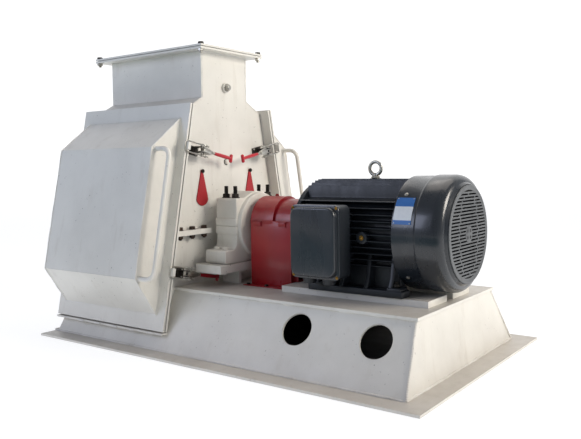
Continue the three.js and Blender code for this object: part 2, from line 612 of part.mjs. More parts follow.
function doorFrame() {
  const plate = box(-FRAME_HALF, FRAME_HALF, -FRAME_T, -GAP, DOOR_W0, DOOR_W1);
  const opening = box(-OPEN_HALF, OPEN_HALF, -FRAME_T - 1, 1, DOOR_W0 + FRAME_RIM, DOOR_W1 - FRAME_RIM);
  const px = -FRAME_HALF - HINGE_OUT;
  const py = -STACK_DOOR - DOOR_T / 2;
  const hinges = HINGE_DROP.flatMap((drop) => {
    const ends = [-1, 1].flatMap((s) => {
      const w = [s * (HINGE_LEAF + HINGE_LEAF_GAP), s * (HINGE_LEAF + HINGE_ENDS)].sort((a, b) => a - b);
      return [
        rod([px, py, w[0] - drop], [px, py, w[1] - drop], HINGE_R, 12),
        box(px - 3, -FRAME_HALF + 1, -STACK_DOOR + 1, -GAP, w[0] - drop, w[1] - drop),
      ];
    });
    const tip = HINGE_LEAF + HINGE_ENDS + 4;
    return [...ends, rod([px, py, -drop - tip], [px, py, -drop + tip], HINGE_PIN_R, 10)];
  });
  return join(cut(plate, opening), hinges);
}

function doorSeal() {
  const [x, w0, w1] = [OPEN_HALF + SEAL_W, DOOR_W0 + FRAME_RIM - SEAL_W, DOOR_W1 - FRAME_RIM + SEAL_W];
  const ring = box(-x, x, -STACK_DOOR, -FRAME_T - GAP, w0, w1);
  return cut(ring, box(-x + SEAL_W, x - SEAL_W, -STACK_DOOR - 1, 0, w0 + SEAL_W, w1 - SEAL_W));
}

// The bulge's outline across the door, as [depth, distance along the door], grown inwards by t.
function bulgeOutline(t) {
  const top = DOOR_W1 - BULGE_FOOT_IN[0];
  const bottom = DOOR_W0 + BULGE_FOOT_IN[1];
  const face = -STACK - BULGE_DEPTH;
  return [
    [-STACK + 2 * t, top - t],
    [-STACK, top - t],
    [face + t, DOOR_W1 - BULGE_FACE_IN[0] - 0.4 * t],
    [face + t, DOOR_W0 + BULGE_FACE_IN[1] + 0.4 * t],
    [-STACK, bottom + t],
    [-STACK + 2 * t, bottom + t],
  ];
}

function door() {
  const plate = box(-FRAME_HALF, FRAME_HALF, -STACK, -STACK_DOOR - GAP, DOOR_W0, DOOR_W1);
  const shape = bulgeOutline(0).slice(1, 5);
  const root = [[-STACK + 1, shape[0][1]], ...shape, [-STACK + 1, shape[3][1]]];
  const bulge = alongX(root, -BULGE_HALF, BULGE_HALF);
  const inside = bulgeOutline(BULGE_SKIN).map(([y, w], i) => [i === 0 || i === 5 ? 0 : y, w]);
  const hollow = alongX(inside, -BULGE_HALF + BULGE_SKIN, BULGE_HALF - BULGE_SKIN);
  const px = -FRAME_HALF - HINGE_OUT;
  const py = -STACK_DOOR - DOOR_T / 2;
  const leaves = HINGE_DROP.flatMap((drop) => [
    rod([px, py, -drop - HINGE_LEAF], [px, py, -drop + HINGE_LEAF], HINGE_R, 12),
    box(px, -FRAME_HALF + 1, -STACK, -STACK_DOOR - 1, -drop - HINGE_LEAF, -drop + HINGE_LEAF),
  ]);
  const bores = HINGE_DROP.map((drop) =>
    rod([px, py, -drop - 60], [px, py, -drop + 60], boreRadius(HINGE_PIN_R, HINGE_PIN_CLEAR, 10), 10));
  const catchHalf = LATCH_LEGS - LATCH_BAR_R - 5;
  const catches = LATCH_DROP.map((drop) => box(FRAME_HALF - 22, FRAME_HALF + LATCH_CATCH_OUT,
    -STACK - 10, -STACK + (DOOR_T - 2), -drop - catchHalf, -drop + catchHalf));
  return cut(join(cut(join(plate, bulge), hollow), leaves, catches), bores);
}

function doorHandle() {
  const y = -STACK - BULGE_DEPTH + HANDLE_FACE_IN;
  const top = DOOR_W1 - BULGE_FACE_IN[0] - HANDLE_END_IN;
  const bottom = DOOR_W0 + BULGE_FACE_IN[1] + HANDLE_END_IN;
  const x0 = BULGE_HALF + GAP;
  const x1 = BULGE_HALF + HANDLE_STANDOFF;
  return bentBar([[x0, y, top], [x1, y, top], [x1, y, bottom], [x0, y, bottom]], HANDLE_R, HANDLE_BEND_R, 8);
}

// Toggle latch: base on the side plate, lever with a tee grip, and a U-shaped hook over the door's catch.
const LATCH_X = SIDE_OUT + LATCH_PIVOT_OUT;
const HOOK_X = LATCH_X - LATCH_DEAD_CENTRE;
const HOOK_Y = LATCH_PIVOT_IN + Math.sqrt(LATCH_ARM ** 2 - LATCH_DEAD_CENTRE ** 2);

function latchBase(w) {
  const foot = box(SIDE_OUT + GAP, SIDE_OUT + 8, 30, 130, w - 26, w + 26);
  const ears = [-1, 1].map((s) => {
    const e = [s * 13, s * 17].sort((a, b) => a - b);
    const ear = box(SIDE_OUT + 7, LATCH_X, LATCH_PIVOT_IN - 18, LATCH_PIVOT_IN + 14, w + e[0], w + e[1]);
    return join(ear, rod([LATCH_X, LATCH_PIVOT_IN - 2, w + e[0]], [LATCH_X, LATCH_PIVOT_IN - 2, w + e[1]], 14, 10));
  });
  const pin = rod([LATCH_X, LATCH_PIVOT_IN, w - 18], [LATCH_X, LATCH_PIVOT_IN, w + 18], LATCH_PIN_R, 8);
  const bridge = box(SIDE_OUT + 7, SIDE_OUT + 40, LATCH_PIVOT_IN - 18, LATCH_PIVOT_IN + 14, w - 14, w + 14);
  return join(foot, ears, pin, bridge);
}

function latchLever(w) {
  const [x, y] = [LATCH_X, LATCH_PIVOT_IN];
  const end = y + LATCH_REACH;
  const root = box(x - 16, x + 10, y - 10, y + 62, w - 11, w + 11);
  const shank = rod([x, y + 60, w], [x, y + 120, w], 7, 8);
  const grip = rod([x, y + 115, w], [x, end, w], LATCH_GRIP_R, 8);
  const tee = rod([x, end - 4, w - LATCH_TEE / 2], [x, end - 4, w + LATCH_TEE / 2], LATCH_GRIP_R, 8);
  const hookPin = rod([HOOK_X, HOOK_Y, w - LATCH_LEGS - 5], [HOOK_X, HOOK_Y, w + LATCH_LEGS + 5], LATCH_BAR_R, 8);
  const bore = rod([x, y, w - 30], [x, y, w + 30], boreRadius(LATCH_PIN_R, LATCH_PIN_CLEAR, 8), 8);
  return cut(join(cut(root, bore), shank, grip, tee, hookPin));
}

function latchHook(w) {
  const far = -STACK - 10 - LATCH_BITE - LATCH_BAR_R;
  const r = LATCH_BAR_R;
  const legs = [-1, 1].map((s) => {
    const leg = rod([HOOK_X, HOOK_Y - 8, w + s * LATCH_LEGS], [HOOK_X, far, w + s * LATCH_LEGS], r, 8);
    const eye = rod([HOOK_X, HOOK_Y, w + s * (LATCH_LEGS - 3.5)], [HOOK_X, HOOK_Y, w + s * (LATCH_LEGS + 3.5)], 9, 10);
    return join(leg, eye);
  });
  const bar = rod([HOOK_X, far, w - LATCH_LEGS - r], [HOOK_X, far, w + LATCH_LEGS + r], r, 8);
  const bore = rod([HOOK_X, HOOK_Y, w - 60], [HOOK_X, HOOK_Y, w + 60], boreRadius(r, LATCH_PIN_CLEAR, 8), 8);
  return cut(join(legs, bar), bore);
}

for (const [name, plane] of Object.entries(doorPlanes)) {
  place(plane, "door_frame_" + name, doorFrame(), PAINT);
  place(plane, "door_seal_" + name, doorSeal(), RUBBER);
  place(plane, "door_" + name, door(), PAINT);
  place(plane, "door_handle_" + name, doorHandle(), PAINT);
  ["upper", "lower"].forEach((level, i) => {
    const tag = name + "_" + level;
    place(plane, "latch_base_" + tag, latchBase(-LATCH_DROP[i]), ZINC);
    place(plane, "latch_lever_" + tag, latchLever(-LATCH_DROP[i]), RED);
    place(plane, "latch_hook_" + tag, latchHook(-LATCH_DROP[i]), ZINC);
  });
}

// ---------- teardrop covers over the hammer pin holes ----------
function pinCover() {
  const [y, z] = [-COVER_PIVOT[0], COVER_PIVOT[1]];
  const lean = THREE.MathUtils.radToDeg(Math.asin((COVER_R - COVER_NECK_R) / COVER_DROP));
  const outline = [
    ...arc(y, z, COVER_NECK_R, -lean, 180 + lean, 6),
    ...arc(y, z - COVER_DROP, COVER_R, 180 + lean, 360 - lean, 14),
  ];
  const hole = circle(y, z, boreRadius(COVER_PIN_R, 0.5, 12), 12);
  return alongX(outline, SIDE_OUT + 0.8, SIDE_OUT + 0.8 + COVER_T, [hole]);
}
for (const [name, group] of Object.entries(sides)) place(group, "pin_cover_" + name, pinCover(), RED);

// ---------- rotor ----------
function mainShaft() {
  const journal = SIDE_IN - 20;
  const roller = SIDE_OUT + BEARING_X + BEARING_W / 2;
  const end = -(BEARING_OUT + 6);
  const half = ROLLER_W / 2;
  const profile = [
    [end, 0], [end, JOURNAL_R],
    [-roller - half, JOURNAL_R], [-roller - half, ROLLER_R], [-roller + half, ROLLER_R], [-roller + half, JOURNAL_R],
    [-journal, JOURNAL_R], [-journal, SHAFT_R], [journal, SHAFT_R], [journal, JOURNAL_R],
    [roller - half, JOURNAL_R], [roller - half, ROLLER_R], [roller + half, ROLLER_R], [roller + half, JOURNAL_R],
    [BEARING_OUT + BEARING_COVER_T + 20, JOURNAL_R], [BEARING_OUT + BEARING_COVER_T + 20, SHAFT_END_R],
    [COUPLING_X + COUPLING_W - 2, SHAFT_END_R], [COUPLING_X + COUPLING_W - 2, 0],
  ];
  return turned(profile, SHAFT_Z);
}

const pinAngle = (k) => Math.PI / 4 + (k * 2 * Math.PI) / PIN_ROWS;
const pinCentre = (k) => [PIN_RADIUS * Math.cos(pinAngle(k)), SHAFT_Z + PIN_RADIUS * Math.sin(pinAngle(k))];

function rotorDiscPack() {
  const [first, last] = [ROTOR_DISC_X[0], ROTOR_DISC_X[ROTOR_DISC_X.length - 1]];
  const t = ROTOR_DISC_T / 2;
  const pieces = ROTOR_DISC_X.map((x) => {
    const disc = rod([x - t, 0, SHAFT_Z], [x + t, 0, SHAFT_Z], ROTOR_DISC_R, 32);
    if (x === first || x === last) return disc;
    const holes = Array.from({ length: PIN_ROWS }, (_, k) => {
      const [y, z] = pinCentre(k);
      return rod([x - 20, y, z], [x + 20, y, z], boreRadius(SLEEVE_R, 1, 10), 10);
    });
    return cut(disc, holes);
  });
  pieces.push(rod([first, 0, SHAFT_Z], [last, 0, SHAFT_Z], ROTOR_HUB_R, 20));
  for (let k = 0; k < PIN_ROWS; k++) {
    const [y, z] = pinCentre(k);
    pieces.push(rod([first - 14, y, z], [last + 14, y, z], PIN_R, 10));
  }
  const bore = rod([first - 30, 0, SHAFT_Z], [last + 30, 0, SHAFT_Z], boreRadius(SHAFT_R, GAP, 24), 24);
  return cut(join(pieces), bore);
}

// One row of hammers hanging from its pin; neighbouring rows are staggered along X.
function hammerRow(k) {
  const [y, z] = pinCentre(k);
  const ends = ROTOR_DISC_X[ROTOR_DISC_X.length - 1] - ROTOR_DISC_T / 2 - 1;
  const pieces = [rod([-ends, y, z], [ends, y, z], SLEEVE_R, 10)];
  for (let bay = 0; bay < ROTOR_DISC_X.length - 1; bay++) {
    const span = ROTOR_DISC_X[bay + 1] - ROTOR_DISC_X[bay] - ROTOR_DISC_T;
    const start = ROTOR_DISC_X[bay] + ROTOR_DISC_T / 2;
    for (let i = 0; i < HAMMERS_PER_BAY; i++) {
      const x = start + (span * (i + 0.5 + 0.25 * ((k % 2) - 0.5))) / HAMMERS_PER_BAY;
      pieces.push(box(x - HAMMER_T / 2, x + HAMMER_T / 2, y - HAMMER_W / 2, y + HAMMER_W / 2, z - HAMMER_REACH, z + HAMMER_HEAD));
    }
  }
  return cut(join(pieces), rod([-ends - 5, y, z], [ends + 5, y, z], boreRadius(PIN_R, SLEEVE_CLEAR, 10), 10));
}

place(mill, "main_shaft", mainShaft(), STEEL);
place(mill, "rotor_disc_pack", rotorDiscPack(), IRON);
for (let k = 0; k < PIN_ROWS; k++) place(mill, "hammer_row_" + (k + 1), hammerRow(k), IRON);

// ---------- bearings ----------
function bearingBody() {
  const x0 = SIDE_OUT + BEARING_X;
  const x1 = BEARING_OUT;
  const barrel = rod([x0, 0, SHAFT_Z], [x1, 0, SHAFT_Z], BEARING_R, 40);
  const shoulders = box(x0, x1, -BEARING_HALF, BEARING_HALF, BEARING_SEAT_Z, SHAFT_Z + BEARING_SHOULDER_Z);
  const gapHalf = CAP_BOLT_Y - 42;
  const between = box(x0 - 1, x1 + 1, -gapHalf, gapHalf, SHAFT_Z + 120, SHAFT_Z + 400);
  const foot = box(x0, x1, -BEARING_FOOT_HALF, BEARING_FOOT_HALF, BEARING_SEAT_Z, BEARING_SEAT_Z + BEARING_FOOT_T);
  const bandHalf = BEARING_HALF + 7;
  const band = box(x0 - 3, x1 + 3, -bandHalf, bandHalf, SHAFT_Z - BEARING_BAND, SHAFT_Z + BEARING_BAND);
  const cover = rod([x1 - 1, 0, SHAFT_Z], [x1 + BEARING_COVER_T, 0, SHAFT_Z], BEARING_COVER_R, 32);
  const inner = rod([x0 - 18, 0, SHAFT_Z], [x0 + 1, 0, SHAFT_Z], 130, 24);
  const footBolts = boltX().flatMap((x) => [-1, 1].map((s) => rod([x, s * 240, BEARING_SEAT_Z + BEARING_FOOT_T - 1],
    [x, s * 240, BEARING_SEAT_Z + BEARING_FOOT_T + 16], 16, 12)));
  const body = join(cut(shoulders, between), barrel, foot, band, cover, inner, footBolts);
  const bore = rod([x0 - 60, 0, SHAFT_Z], [x1 + 60, 0, SHAFT_Z], JOURNAL_BORE, 24);
  const mid = (x0 + x1) / 2;
  const room = rod([mid - ROLLER_W / 2 - 4, 0, SHAFT_Z], [mid + ROLLER_W / 2 + 4, 0, SHAFT_Z], boreRadius(ROLLER_R, SHAFT_CLEAR, 24), 24);
  return cut(body, bore, room);
}

function bearingHalves() {
  const body = bearingBody();
  const far = 2000;
  const base = body.intersect(box(-far, far, -far, far, 0, SHAFT_Z - GAP / 2));
  const cap = body.intersect(box(-far, far, -far, far, SHAFT_Z + GAP / 2, far));
  const seat = SHAFT_Z + BEARING_SHOULDER_Z;
  const mid = SIDE_OUT + BEARING_X + BEARING_W / 2;
  const studs = [-1, 1].flatMap((sx) => [-1, 1].flatMap((sy) => {
    const [x, y] = [mid + sx * CAP_BOLT_DX, sy * CAP_BOLT_Y];
    return [
      rod([x, y, seat - 1], [x, y, seat + CAP_BOLT_H], CAP_BOLT_R, 8),
      rod([x, y, seat - 1], [x, y, seat + 26], CAP_BOLT_R * 1.75, 6),
    ];
  }));
  return [base, join(cap, studs)];
}

const [bearingBase, bearingCap] = bearingHalves();
place(mill, "bearing_base_drive", bearingBase, CAST_PAINT);
place(mill, "bearing_cap_drive", bearingCap, CAST_PAINT);
place(mill, "bearing_base_outboard", bearingBase.mirror([1, 0, 0]), CAST_PAINT);
place(mill, "bearing_cap_outboard", bearingCap.mirror([1, 0, 0]), CAST_PAINT);

// ---------- coupling and guard ----------
function couplingHalf(flip) {
  const width = COUPLING_W;
  const profile = [
    [0, SHAFT_END_R + GAP], [0, 68], [width * 0.45, 68], [width * 0.45, COUPLING_R],
    [width, COUPLING_R], [width, SHAFT_END_R + GAP],
  ];
  const half = turned(profile, SHAFT_Z);
  if (!flip) return half.translate([COUPLING_X, 0, 0]);
  return half.mirror([1, 0, 0]).translate([COUPLING_X + 2 * COUPLING_W + COUPLING_SPACE, 0, 0]);
}

// The guard's outline: upright walls under a round top.
function guardOutline(half, top, z0) {
  return [...arc(0, top - half, half, 0, 180, 18), [-half, z0], [half, z0]];
}

// The guard's solid, drawn in by t on every side: a high round top, a lower one past the step, and a wide body.
function guardBody(t, z0) {
  const [x0, x1] = [GUARD_X[0] + t, GUARD_X[1] - t];
  const half = GUARD_HALF - t;
  return join(
    alongX(guardOutline(half, GUARD_TOP_Z - t, z0), x0, GUARD_STEP_X - t),
    alongX(guardOutline(half - GUARD_STEP, GUARD_TOP_Z - GUARD_STEP - t, z0), GUARD_STEP_X - t - 1, x1),
    box(x0, x1, -half, half, z0, GUARD_SPLIT_Z - t));
}

function guardShell() {
  const z0 = BASE_HEIGHT + GAP;
  const t = GUARD_SKIN;
  const collarTop = SHAFT_Z + GUARD_COLLAR_HALF;
  const collarFoot = MOTOR_SEAT_Z + 2;
  const end = GUARD_X[1] + GUARD_COLLAR_LENGTH;
  const collar = alongX(guardOutline(GUARD_COLLAR_HALF, collarTop, collarFoot), GUARD_X[1] - 1, end);
  const collarIn = alongX(guardOutline(GUARD_COLLAR_HALF - t, collarTop - t, collarFoot + t), GUARD_X[1] - 9, end + 1);
  const shaftWay = rod([GUARD_X[0] - 5, 0, SHAFT_Z], [GUARD_X[0] + 9, 0, SHAFT_Z], JOURNAL_R + 12, 24);
  const feet = [-1, 1].map((s) => {
    const y = [s * (GUARD_HALF - 1), s * (GUARD_HALF + GUARD_FOOT)].sort((a, b) => a - b);
    return box(GUARD_X[0] - 22, GUARD_X[1] - 8, ...y, z0, z0 + t);
  });
  const lugX = (GUARD_X[0] + GUARD_STEP_X) / 2;
  const lug = box(lugX - 12, lugX + 12, -3, 3, GUARD_TOP_Z - t, GUARD_TOP_Z + 14);
  return cut(join(cut(join(guardBody(0, z0), collar), guardBody(t, z0 - 1), collarIn), feet, lug), shaftWay);
}

function guardClasps() {
  const clasps = [GUARD_X[0] + 18, GUARD_X[1] - 86].flatMap((x) => [-1, 1].map((s) => {
    const y = [s * (GUARD_HALF - 1), s * (GUARD_HALF + 12)].sort((a, b) => a - b);
    return box(x, x + 66, ...y, GUARD_SPLIT_Z - 30, GUARD_SPLIT_Z - 2);
  }));
  return join(clasps);
}

const FAR = 3000;
const shell = guardShell();
const below = box(-FAR, FAR, -FAR, FAR, 0, GUARD_SPLIT_Z);
const above = box(-FAR, FAR, -FAR, FAR, GUARD_SPLIT_Z + 2 * GAP, FAR);
place(mill, "coupling_half_mill", couplingHalf(false), IRON);
place(mill, "coupling_half_motor", couplingHalf(true), IRON);
place(mill, "coupling_guard_lower", join(shell.intersect(below), guardClasps()), RED);
place(mill, "coupling_guard_upper", shell.intersect(above), RED);

// ---------- motor ----------
function motorFrame() {
  const [x0, x1] = [MOTOR_X + MOTOR_SHIELD + GAP, MOTOR_FRAME_END];
  const core = rod([x0, 0, SHAFT_Z], [x1, 0, SHAFT_Z], MOTOR_CORE_R, 32);
  const t = MOTOR_FIN_T / 2;
  const fins = [];
  for (let i = -5; i <= 5; i++) {
    const z = SHAFT_Z + i * MOTOR_FIN_PITCH;
    fins.push(box(x0, x1, -MOTOR_FIN_R, MOTOR_FIN_R, z - t, z + t));
  }
  for (let i = -4; i <= 4; i++) {
    const y = i * MOTOR_FIN_PITCH;
    fins.push(box(x0, x1, y - t, y + t, SHAFT_Z, SHAFT_Z + MOTOR_FIN_R));
  }
  const limit = rod([x0, 0, SHAFT_Z], [x1, 0, SHAFT_Z], MOTOR_FIN_R, 40);
  const finned = join(fins).intersect(limit);
  const inner = rod([x0 - 5, 0, SHAFT_Z], [x1 - 24, 0, SHAFT_Z], MOTOR_CORE_R - 22, 24);
  const shaftWay = rod([x1 - 40, 0, SHAFT_Z], [x1 + 5, 0, SHAFT_Z], boreRadius(MOTOR_SHAFT_R, SHAFT_CLEAR, 24), 24);
  const feet = [-1, 1].flatMap((s) => {
    const y = MOTOR_FOOT_Y.map((v) => s * v).sort((a, b) => a - b);
    const plate = box(...MOTOR_FOOT_X, ...y, MOTOR_SEAT_Z + GAP, MOTOR_SEAT_Z + MOTOR_FOOT_T);
    const legs = [0.1, 0.62].map((f) => {
      const x = THREE.MathUtils.lerp(...MOTOR_FOOT_X, f);
      const end = Math.min(x + 34, x1);
      return box(x, end, ...[s * 120, s * (MOTOR_FOOT_Y[1] - 26)].sort((a, b) => a - b), MOTOR_SEAT_Z + GAP, SHAFT_Z - 90);
    });
    return [plate, ...legs];
  });
  const pad = box(TERMINAL_X[0] + 24, TERMINAL_X[1] - 24, -TERMINAL_Y[0] + GAP, -MOTOR_CORE_R + 30,
    SHAFT_Z - 140, SHAFT_Z + 90);
  const eyePad = box(EYE_X - 26, EYE_X + 26, -26, 26, SHAFT_Z + MOTOR_CORE_R - 10, SHAFT_Z + MOTOR_FIN_R + 2);
  const earth = join(
    rod([EYE_X + 66, -MOTOR_CORE_R + 8, SHAFT_Z - 16], [EYE_X + 66, -MOTOR_FIN_R - 2, SHAFT_Z - 16], 30, 20),
    rod([EYE_X + 66, -MOTOR_FIN_R, SHAFT_Z - 16], [EYE_X + 66, -MOTOR_FIN_R - 9, SHAFT_Z - 16], 9, 6));
  return cut(join(core, finned, feet, pad, eyePad, earth), inner, shaftWay);
}

function motorEndShield() {
  const [x0, x1] = [MOTOR_X, MOTOR_X + MOTOR_SHIELD];
  const r = boreRadius(MOTOR_SHAFT_R, SHAFT_CLEAR, 28);
  const profile = [[x0, r], [x0, 96], [x0 + 14, 104], [x0 + 26, 176], [x0 + 46, MOTOR_CORE_R + 26],
    [x1, MOTOR_CORE_R + 26], [x1, MOTOR_CORE_R - 30], [x0 + 46, MOTOR_CORE_R - 50], [x0 + 40, 80], [x1, 80], [x1, r]];
  return turned(profile, SHAFT_Z, 28);
}

function motorShaft() {
  const x0 = COUPLING_X + COUPLING_W + COUPLING_SPACE + 2;
  const rotor = [MOTOR_X + MOTOR_SHIELD + 60, MOTOR_FRAME_END - 60];
  const end = FAN_X + FAN_W + 10;
  return turned([[x0, 0], [x0, MOTOR_SHAFT_R], [rotor[0], MOTOR_SHAFT_R], [rotor[0], 130], [rotor[1], 130],
    [rotor[1], MOTOR_SHAFT_R], [end, MOTOR_SHAFT_R], [end, 0]], SHAFT_Z);
}

function motorFan() {
  const hub = rod([FAN_X, 0, SHAFT_Z], [FAN_X + FAN_W, 0, SHAFT_Z], 58, 20);
  const back = rod([FAN_X, 0, SHAFT_Z], [FAN_X + 6, 0, SHAFT_Z], FAN_R, 28);
  const blade = box(FAN_X, FAN_X + FAN_W, -3, 3, 50, FAN_R - 4);
  const blades = Array.from({ length: FAN_BLADES }, (_, i) =>
    blade.rotate([(360 * i) / FAN_BLADES, 0, 0]).translate([0, 0, SHAFT_Z]));
  const bore = rod([FAN_X - 9, 0, SHAFT_Z], [FAN_X + FAN_W + 9, 0, SHAFT_Z], boreRadius(MOTOR_SHAFT_R, GAP, 24), 24);
  return cut(join(hub, back, blades), bore);
}

function fanCowl() {
  const x0 = MOTOR_FRAME_END + 2;
  const t = COWL_SKIN;
  const narrow = COWL_R - COWL_WIDEN;
  const profile = [
    [x0, narrow], [COWL_STEP_X, narrow], [COWL_STEP_X + 8, COWL_R], [COWL_TAPER_X, COWL_R],
    [COWL_TAPER_X + 22, COWL_R - 9], [COWL_TAPER_X + 44, COWL_R - 26], [COWL_END_X, COWL_END_R],
    [COWL_END_X - 6, COWL_END_R - t], [COWL_TAPER_X + 38, COWL_R - 30], [COWL_TAPER_X + 18, COWL_R - 14],
    [COWL_TAPER_X - 3, COWL_R - t], [x0, narrow - t],
  ];
  return turned(profile, SHAFT_Z, 40);
}

function cowlGrille() {
  const x0 = COWL_END_X - 6 + 7;
  const disc = rod([x0, 0, SHAFT_Z], [x0 + GRILLE_T, 0, SHAFT_Z], COWL_END_R - 2, 40);
  const reach = COWL_END_R - 20;
  const pitch = (2 * reach) / (GRILLE_SLOTS + 1);
  const slots = [];
  for (let i = 1; i <= GRILLE_SLOTS; i++) {
    const z = -reach + pitch * i;
    const half = Math.sqrt(reach * reach - z * z);
    const inner = Math.abs(z) < 46 ? Math.sqrt(46 * 46 - z * z) : 0;
    const spans = inner ? [[-half, -inner], [inner, half]] : [[-half, half]];
    for (const [y0, y1] of spans) {
      slots.push(box(x0 - 1, x0 + GRILLE_T + 1, y0, y1, SHAFT_Z + z - pitch * 0.27, SHAFT_Z + z + pitch * 0.27));
    }
  }
  return cut(disc, slots);
}

function roundedBox(x0, x1, y0, y1, z0, z1, r) {
  const shape = new THREE.Shape();
  shape.moveTo(x0 + r, z0);
  shape.lineTo(x1 - r, z0).absarc(x1 - r, z0 + r, r, -Math.PI / 2, 0);
  shape.lineTo(x1, z1 - r).absarc(x1 - r, z1 - r, r, 0, Math.PI / 2);
  shape.lineTo(x0 + r, z1).absarc(x0 + r, z1 - r, r, Math.PI / 2, Math.PI);
  shape.lineTo(x0, z0 + r).absarc(x0 + r, z0 + r, r, Math.PI, 1.5 * Math.PI);
  const g = new THREE.ExtrudeGeometry(shape, { depth: y1 - y0, bevelEnabled: false, curveSegments: 4 });
  const m = new THREE.Matrix4().makeBasis(
    new THREE.Vector3(1, 0, 0), new THREE.Vector3(0, 0, 1), new THREE.Vector3(0, -1, 0));
  return solid(g, m.setPosition(0, y1, 0));
}

function terminalBox() {
  const [y0, y1] = [-TERMINAL_Y[1], -TERMINAL_Y[0]];
  const body = roundedBox(...TERMINAL_X, y0, y1, ...TERMINAL_Z, TERMINAL_ROUND);
  const room = roundedBox(TERMINAL_X[0] + 8, TERMINAL_X[1] - 8, y0 - 1, y1 - 8, TERMINAL_Z[0] + 8, TERMINAL_Z[1] - 8, 20);
  const mid = (y0 + y1) / 2;
  const glands = [0.24, 0.66].map((f) => {
    const x = THREE.MathUtils.lerp(...TERMINAL_X, f);
    return rod([x, mid, TERMINAL_Z[0] - 36], [x, mid, TERMINAL_Z[0] + 4], GLAND_R, 16, GLAND_R + 9);
  });
  return join(cut(body, room), glands);
}

function terminalBoxLid() {
  const y1 = -TERMINAL_Y[1] - GAP;
  const rim = roundedBox(TERMINAL_X[0] - 3, TERMINAL_X[1] + 3, y1 - 12, y1, TERMINAL_Z[0] - 3, TERMINAL_Z[1] + 3, TERMINAL_ROUND);
  const face = roundedBox(TERMINAL_X[0] + 6, TERMINAL_X[1] - 6, y1 - TERMINAL_LID_T, y1 - 11,
    TERMINAL_Z[0] + 6, TERMINAL_Z[1] - 6, TERMINAL_ROUND);
  return join(rim, face);
}

function eyeBolt() {
  const z = SHAFT_Z + MOTOR_FIN_R + 2 + GAP;
  const ring = new THREE.TorusGeometry(EYE_R, EYE_WIRE_R, 8, 18);
  const m = new THREE.Matrix4().makeRotationX(Math.PI / 2).setPosition(EYE_X, 0, z + 18 + EYE_R);
  return join(solid(ring, m), rod([EYE_X, 0, z], [EYE_X, 0, z + 12], 22, 14), rod([EYE_X, 0, z + 10], [EYE_X, 0, z + 22], 13, 10));
}

place(mill, "motor_frame", motorFrame(), MOTOR_PAINT);
place(mill, "motor_end_shield", motorEndShield(), MOTOR_PAINT);
place(mill, "motor_shaft", motorShaft(), STEEL);
place(mill, "motor_fan", motorFan(), RUBBER);
place(mill, "fan_cowl", fanCowl(), MOTOR_PAINT);
place(mill, "cowl_grille", cowlGrille(), RIM_GREY);
place(mill, "terminal_box", terminalBox(), MOTOR_PAINT);
place(mill, "terminal_box_lid", terminalBoxLid(), MOTOR_PAINT);
place(mill, "eye_bolt", eyeBolt(), ZINC);

// The origin is the middle of the footprint, from the outboard bearing's cover to the base's far end.
mill.position.x = -(PART_X0 + BASE_X1) / 2;
const group = new THREE.Group();
group.add(mill);

export default group;
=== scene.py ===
"""A hammer mill, its motor and their welded base: finishes, fasteners, welds and castings."""
import json
import math

import bpy
import numpy as np
from mathutils import Matrix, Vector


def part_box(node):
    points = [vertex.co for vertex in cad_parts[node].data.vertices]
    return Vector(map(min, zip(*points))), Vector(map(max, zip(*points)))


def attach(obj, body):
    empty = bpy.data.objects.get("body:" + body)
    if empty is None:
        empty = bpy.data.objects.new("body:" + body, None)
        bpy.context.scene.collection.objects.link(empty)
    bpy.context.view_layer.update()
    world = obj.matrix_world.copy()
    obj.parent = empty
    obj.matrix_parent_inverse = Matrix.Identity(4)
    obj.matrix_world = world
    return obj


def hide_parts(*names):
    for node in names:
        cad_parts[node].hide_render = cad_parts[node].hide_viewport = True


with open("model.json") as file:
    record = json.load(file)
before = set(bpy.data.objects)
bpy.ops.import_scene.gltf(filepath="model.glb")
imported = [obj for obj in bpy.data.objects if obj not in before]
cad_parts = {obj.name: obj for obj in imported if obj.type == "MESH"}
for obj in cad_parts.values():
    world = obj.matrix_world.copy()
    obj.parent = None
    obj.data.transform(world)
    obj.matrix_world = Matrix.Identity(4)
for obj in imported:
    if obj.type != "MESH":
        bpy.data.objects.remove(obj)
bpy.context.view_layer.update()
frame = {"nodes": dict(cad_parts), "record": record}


# ---------- places, read from the frame (metres) ----------
def corners(node):
    """Lowest and highest corner of a CAD node as two arrays."""
    lo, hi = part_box(node)
    return np.array(lo), np.array(hi)


INLET_LO, INLET_HI = corners("inlet_flange")
COUNTER_HI = corners("inlet_counter_flange")[1]
CASING_LO, CASING_HI = corners("upper_casing_front")
FRAME_HI = corners("door_frame_front")[1]
FLOOR_HI = corners("floor_flange")[1]
SHELL_LO, SHELL_HI = corners("base_shell")
TOP_HI = corners("base_top_plate")[1]
COWL_LO, COWL_HI = corners("fan_cowl")
GRILLE_LO = corners("cowl_grille")[0]
SHIELD_LO = corners("motor_end_shield")[0]
BOX_LO, BOX_HI = corners("terminal_box")
LID_LO, LID_HI = corners("terminal_box_lid")
ARCH_LO = corners("coupling_guard_upper")[0]
EYE_LO, EYE_HI = corners("eye_bolt")

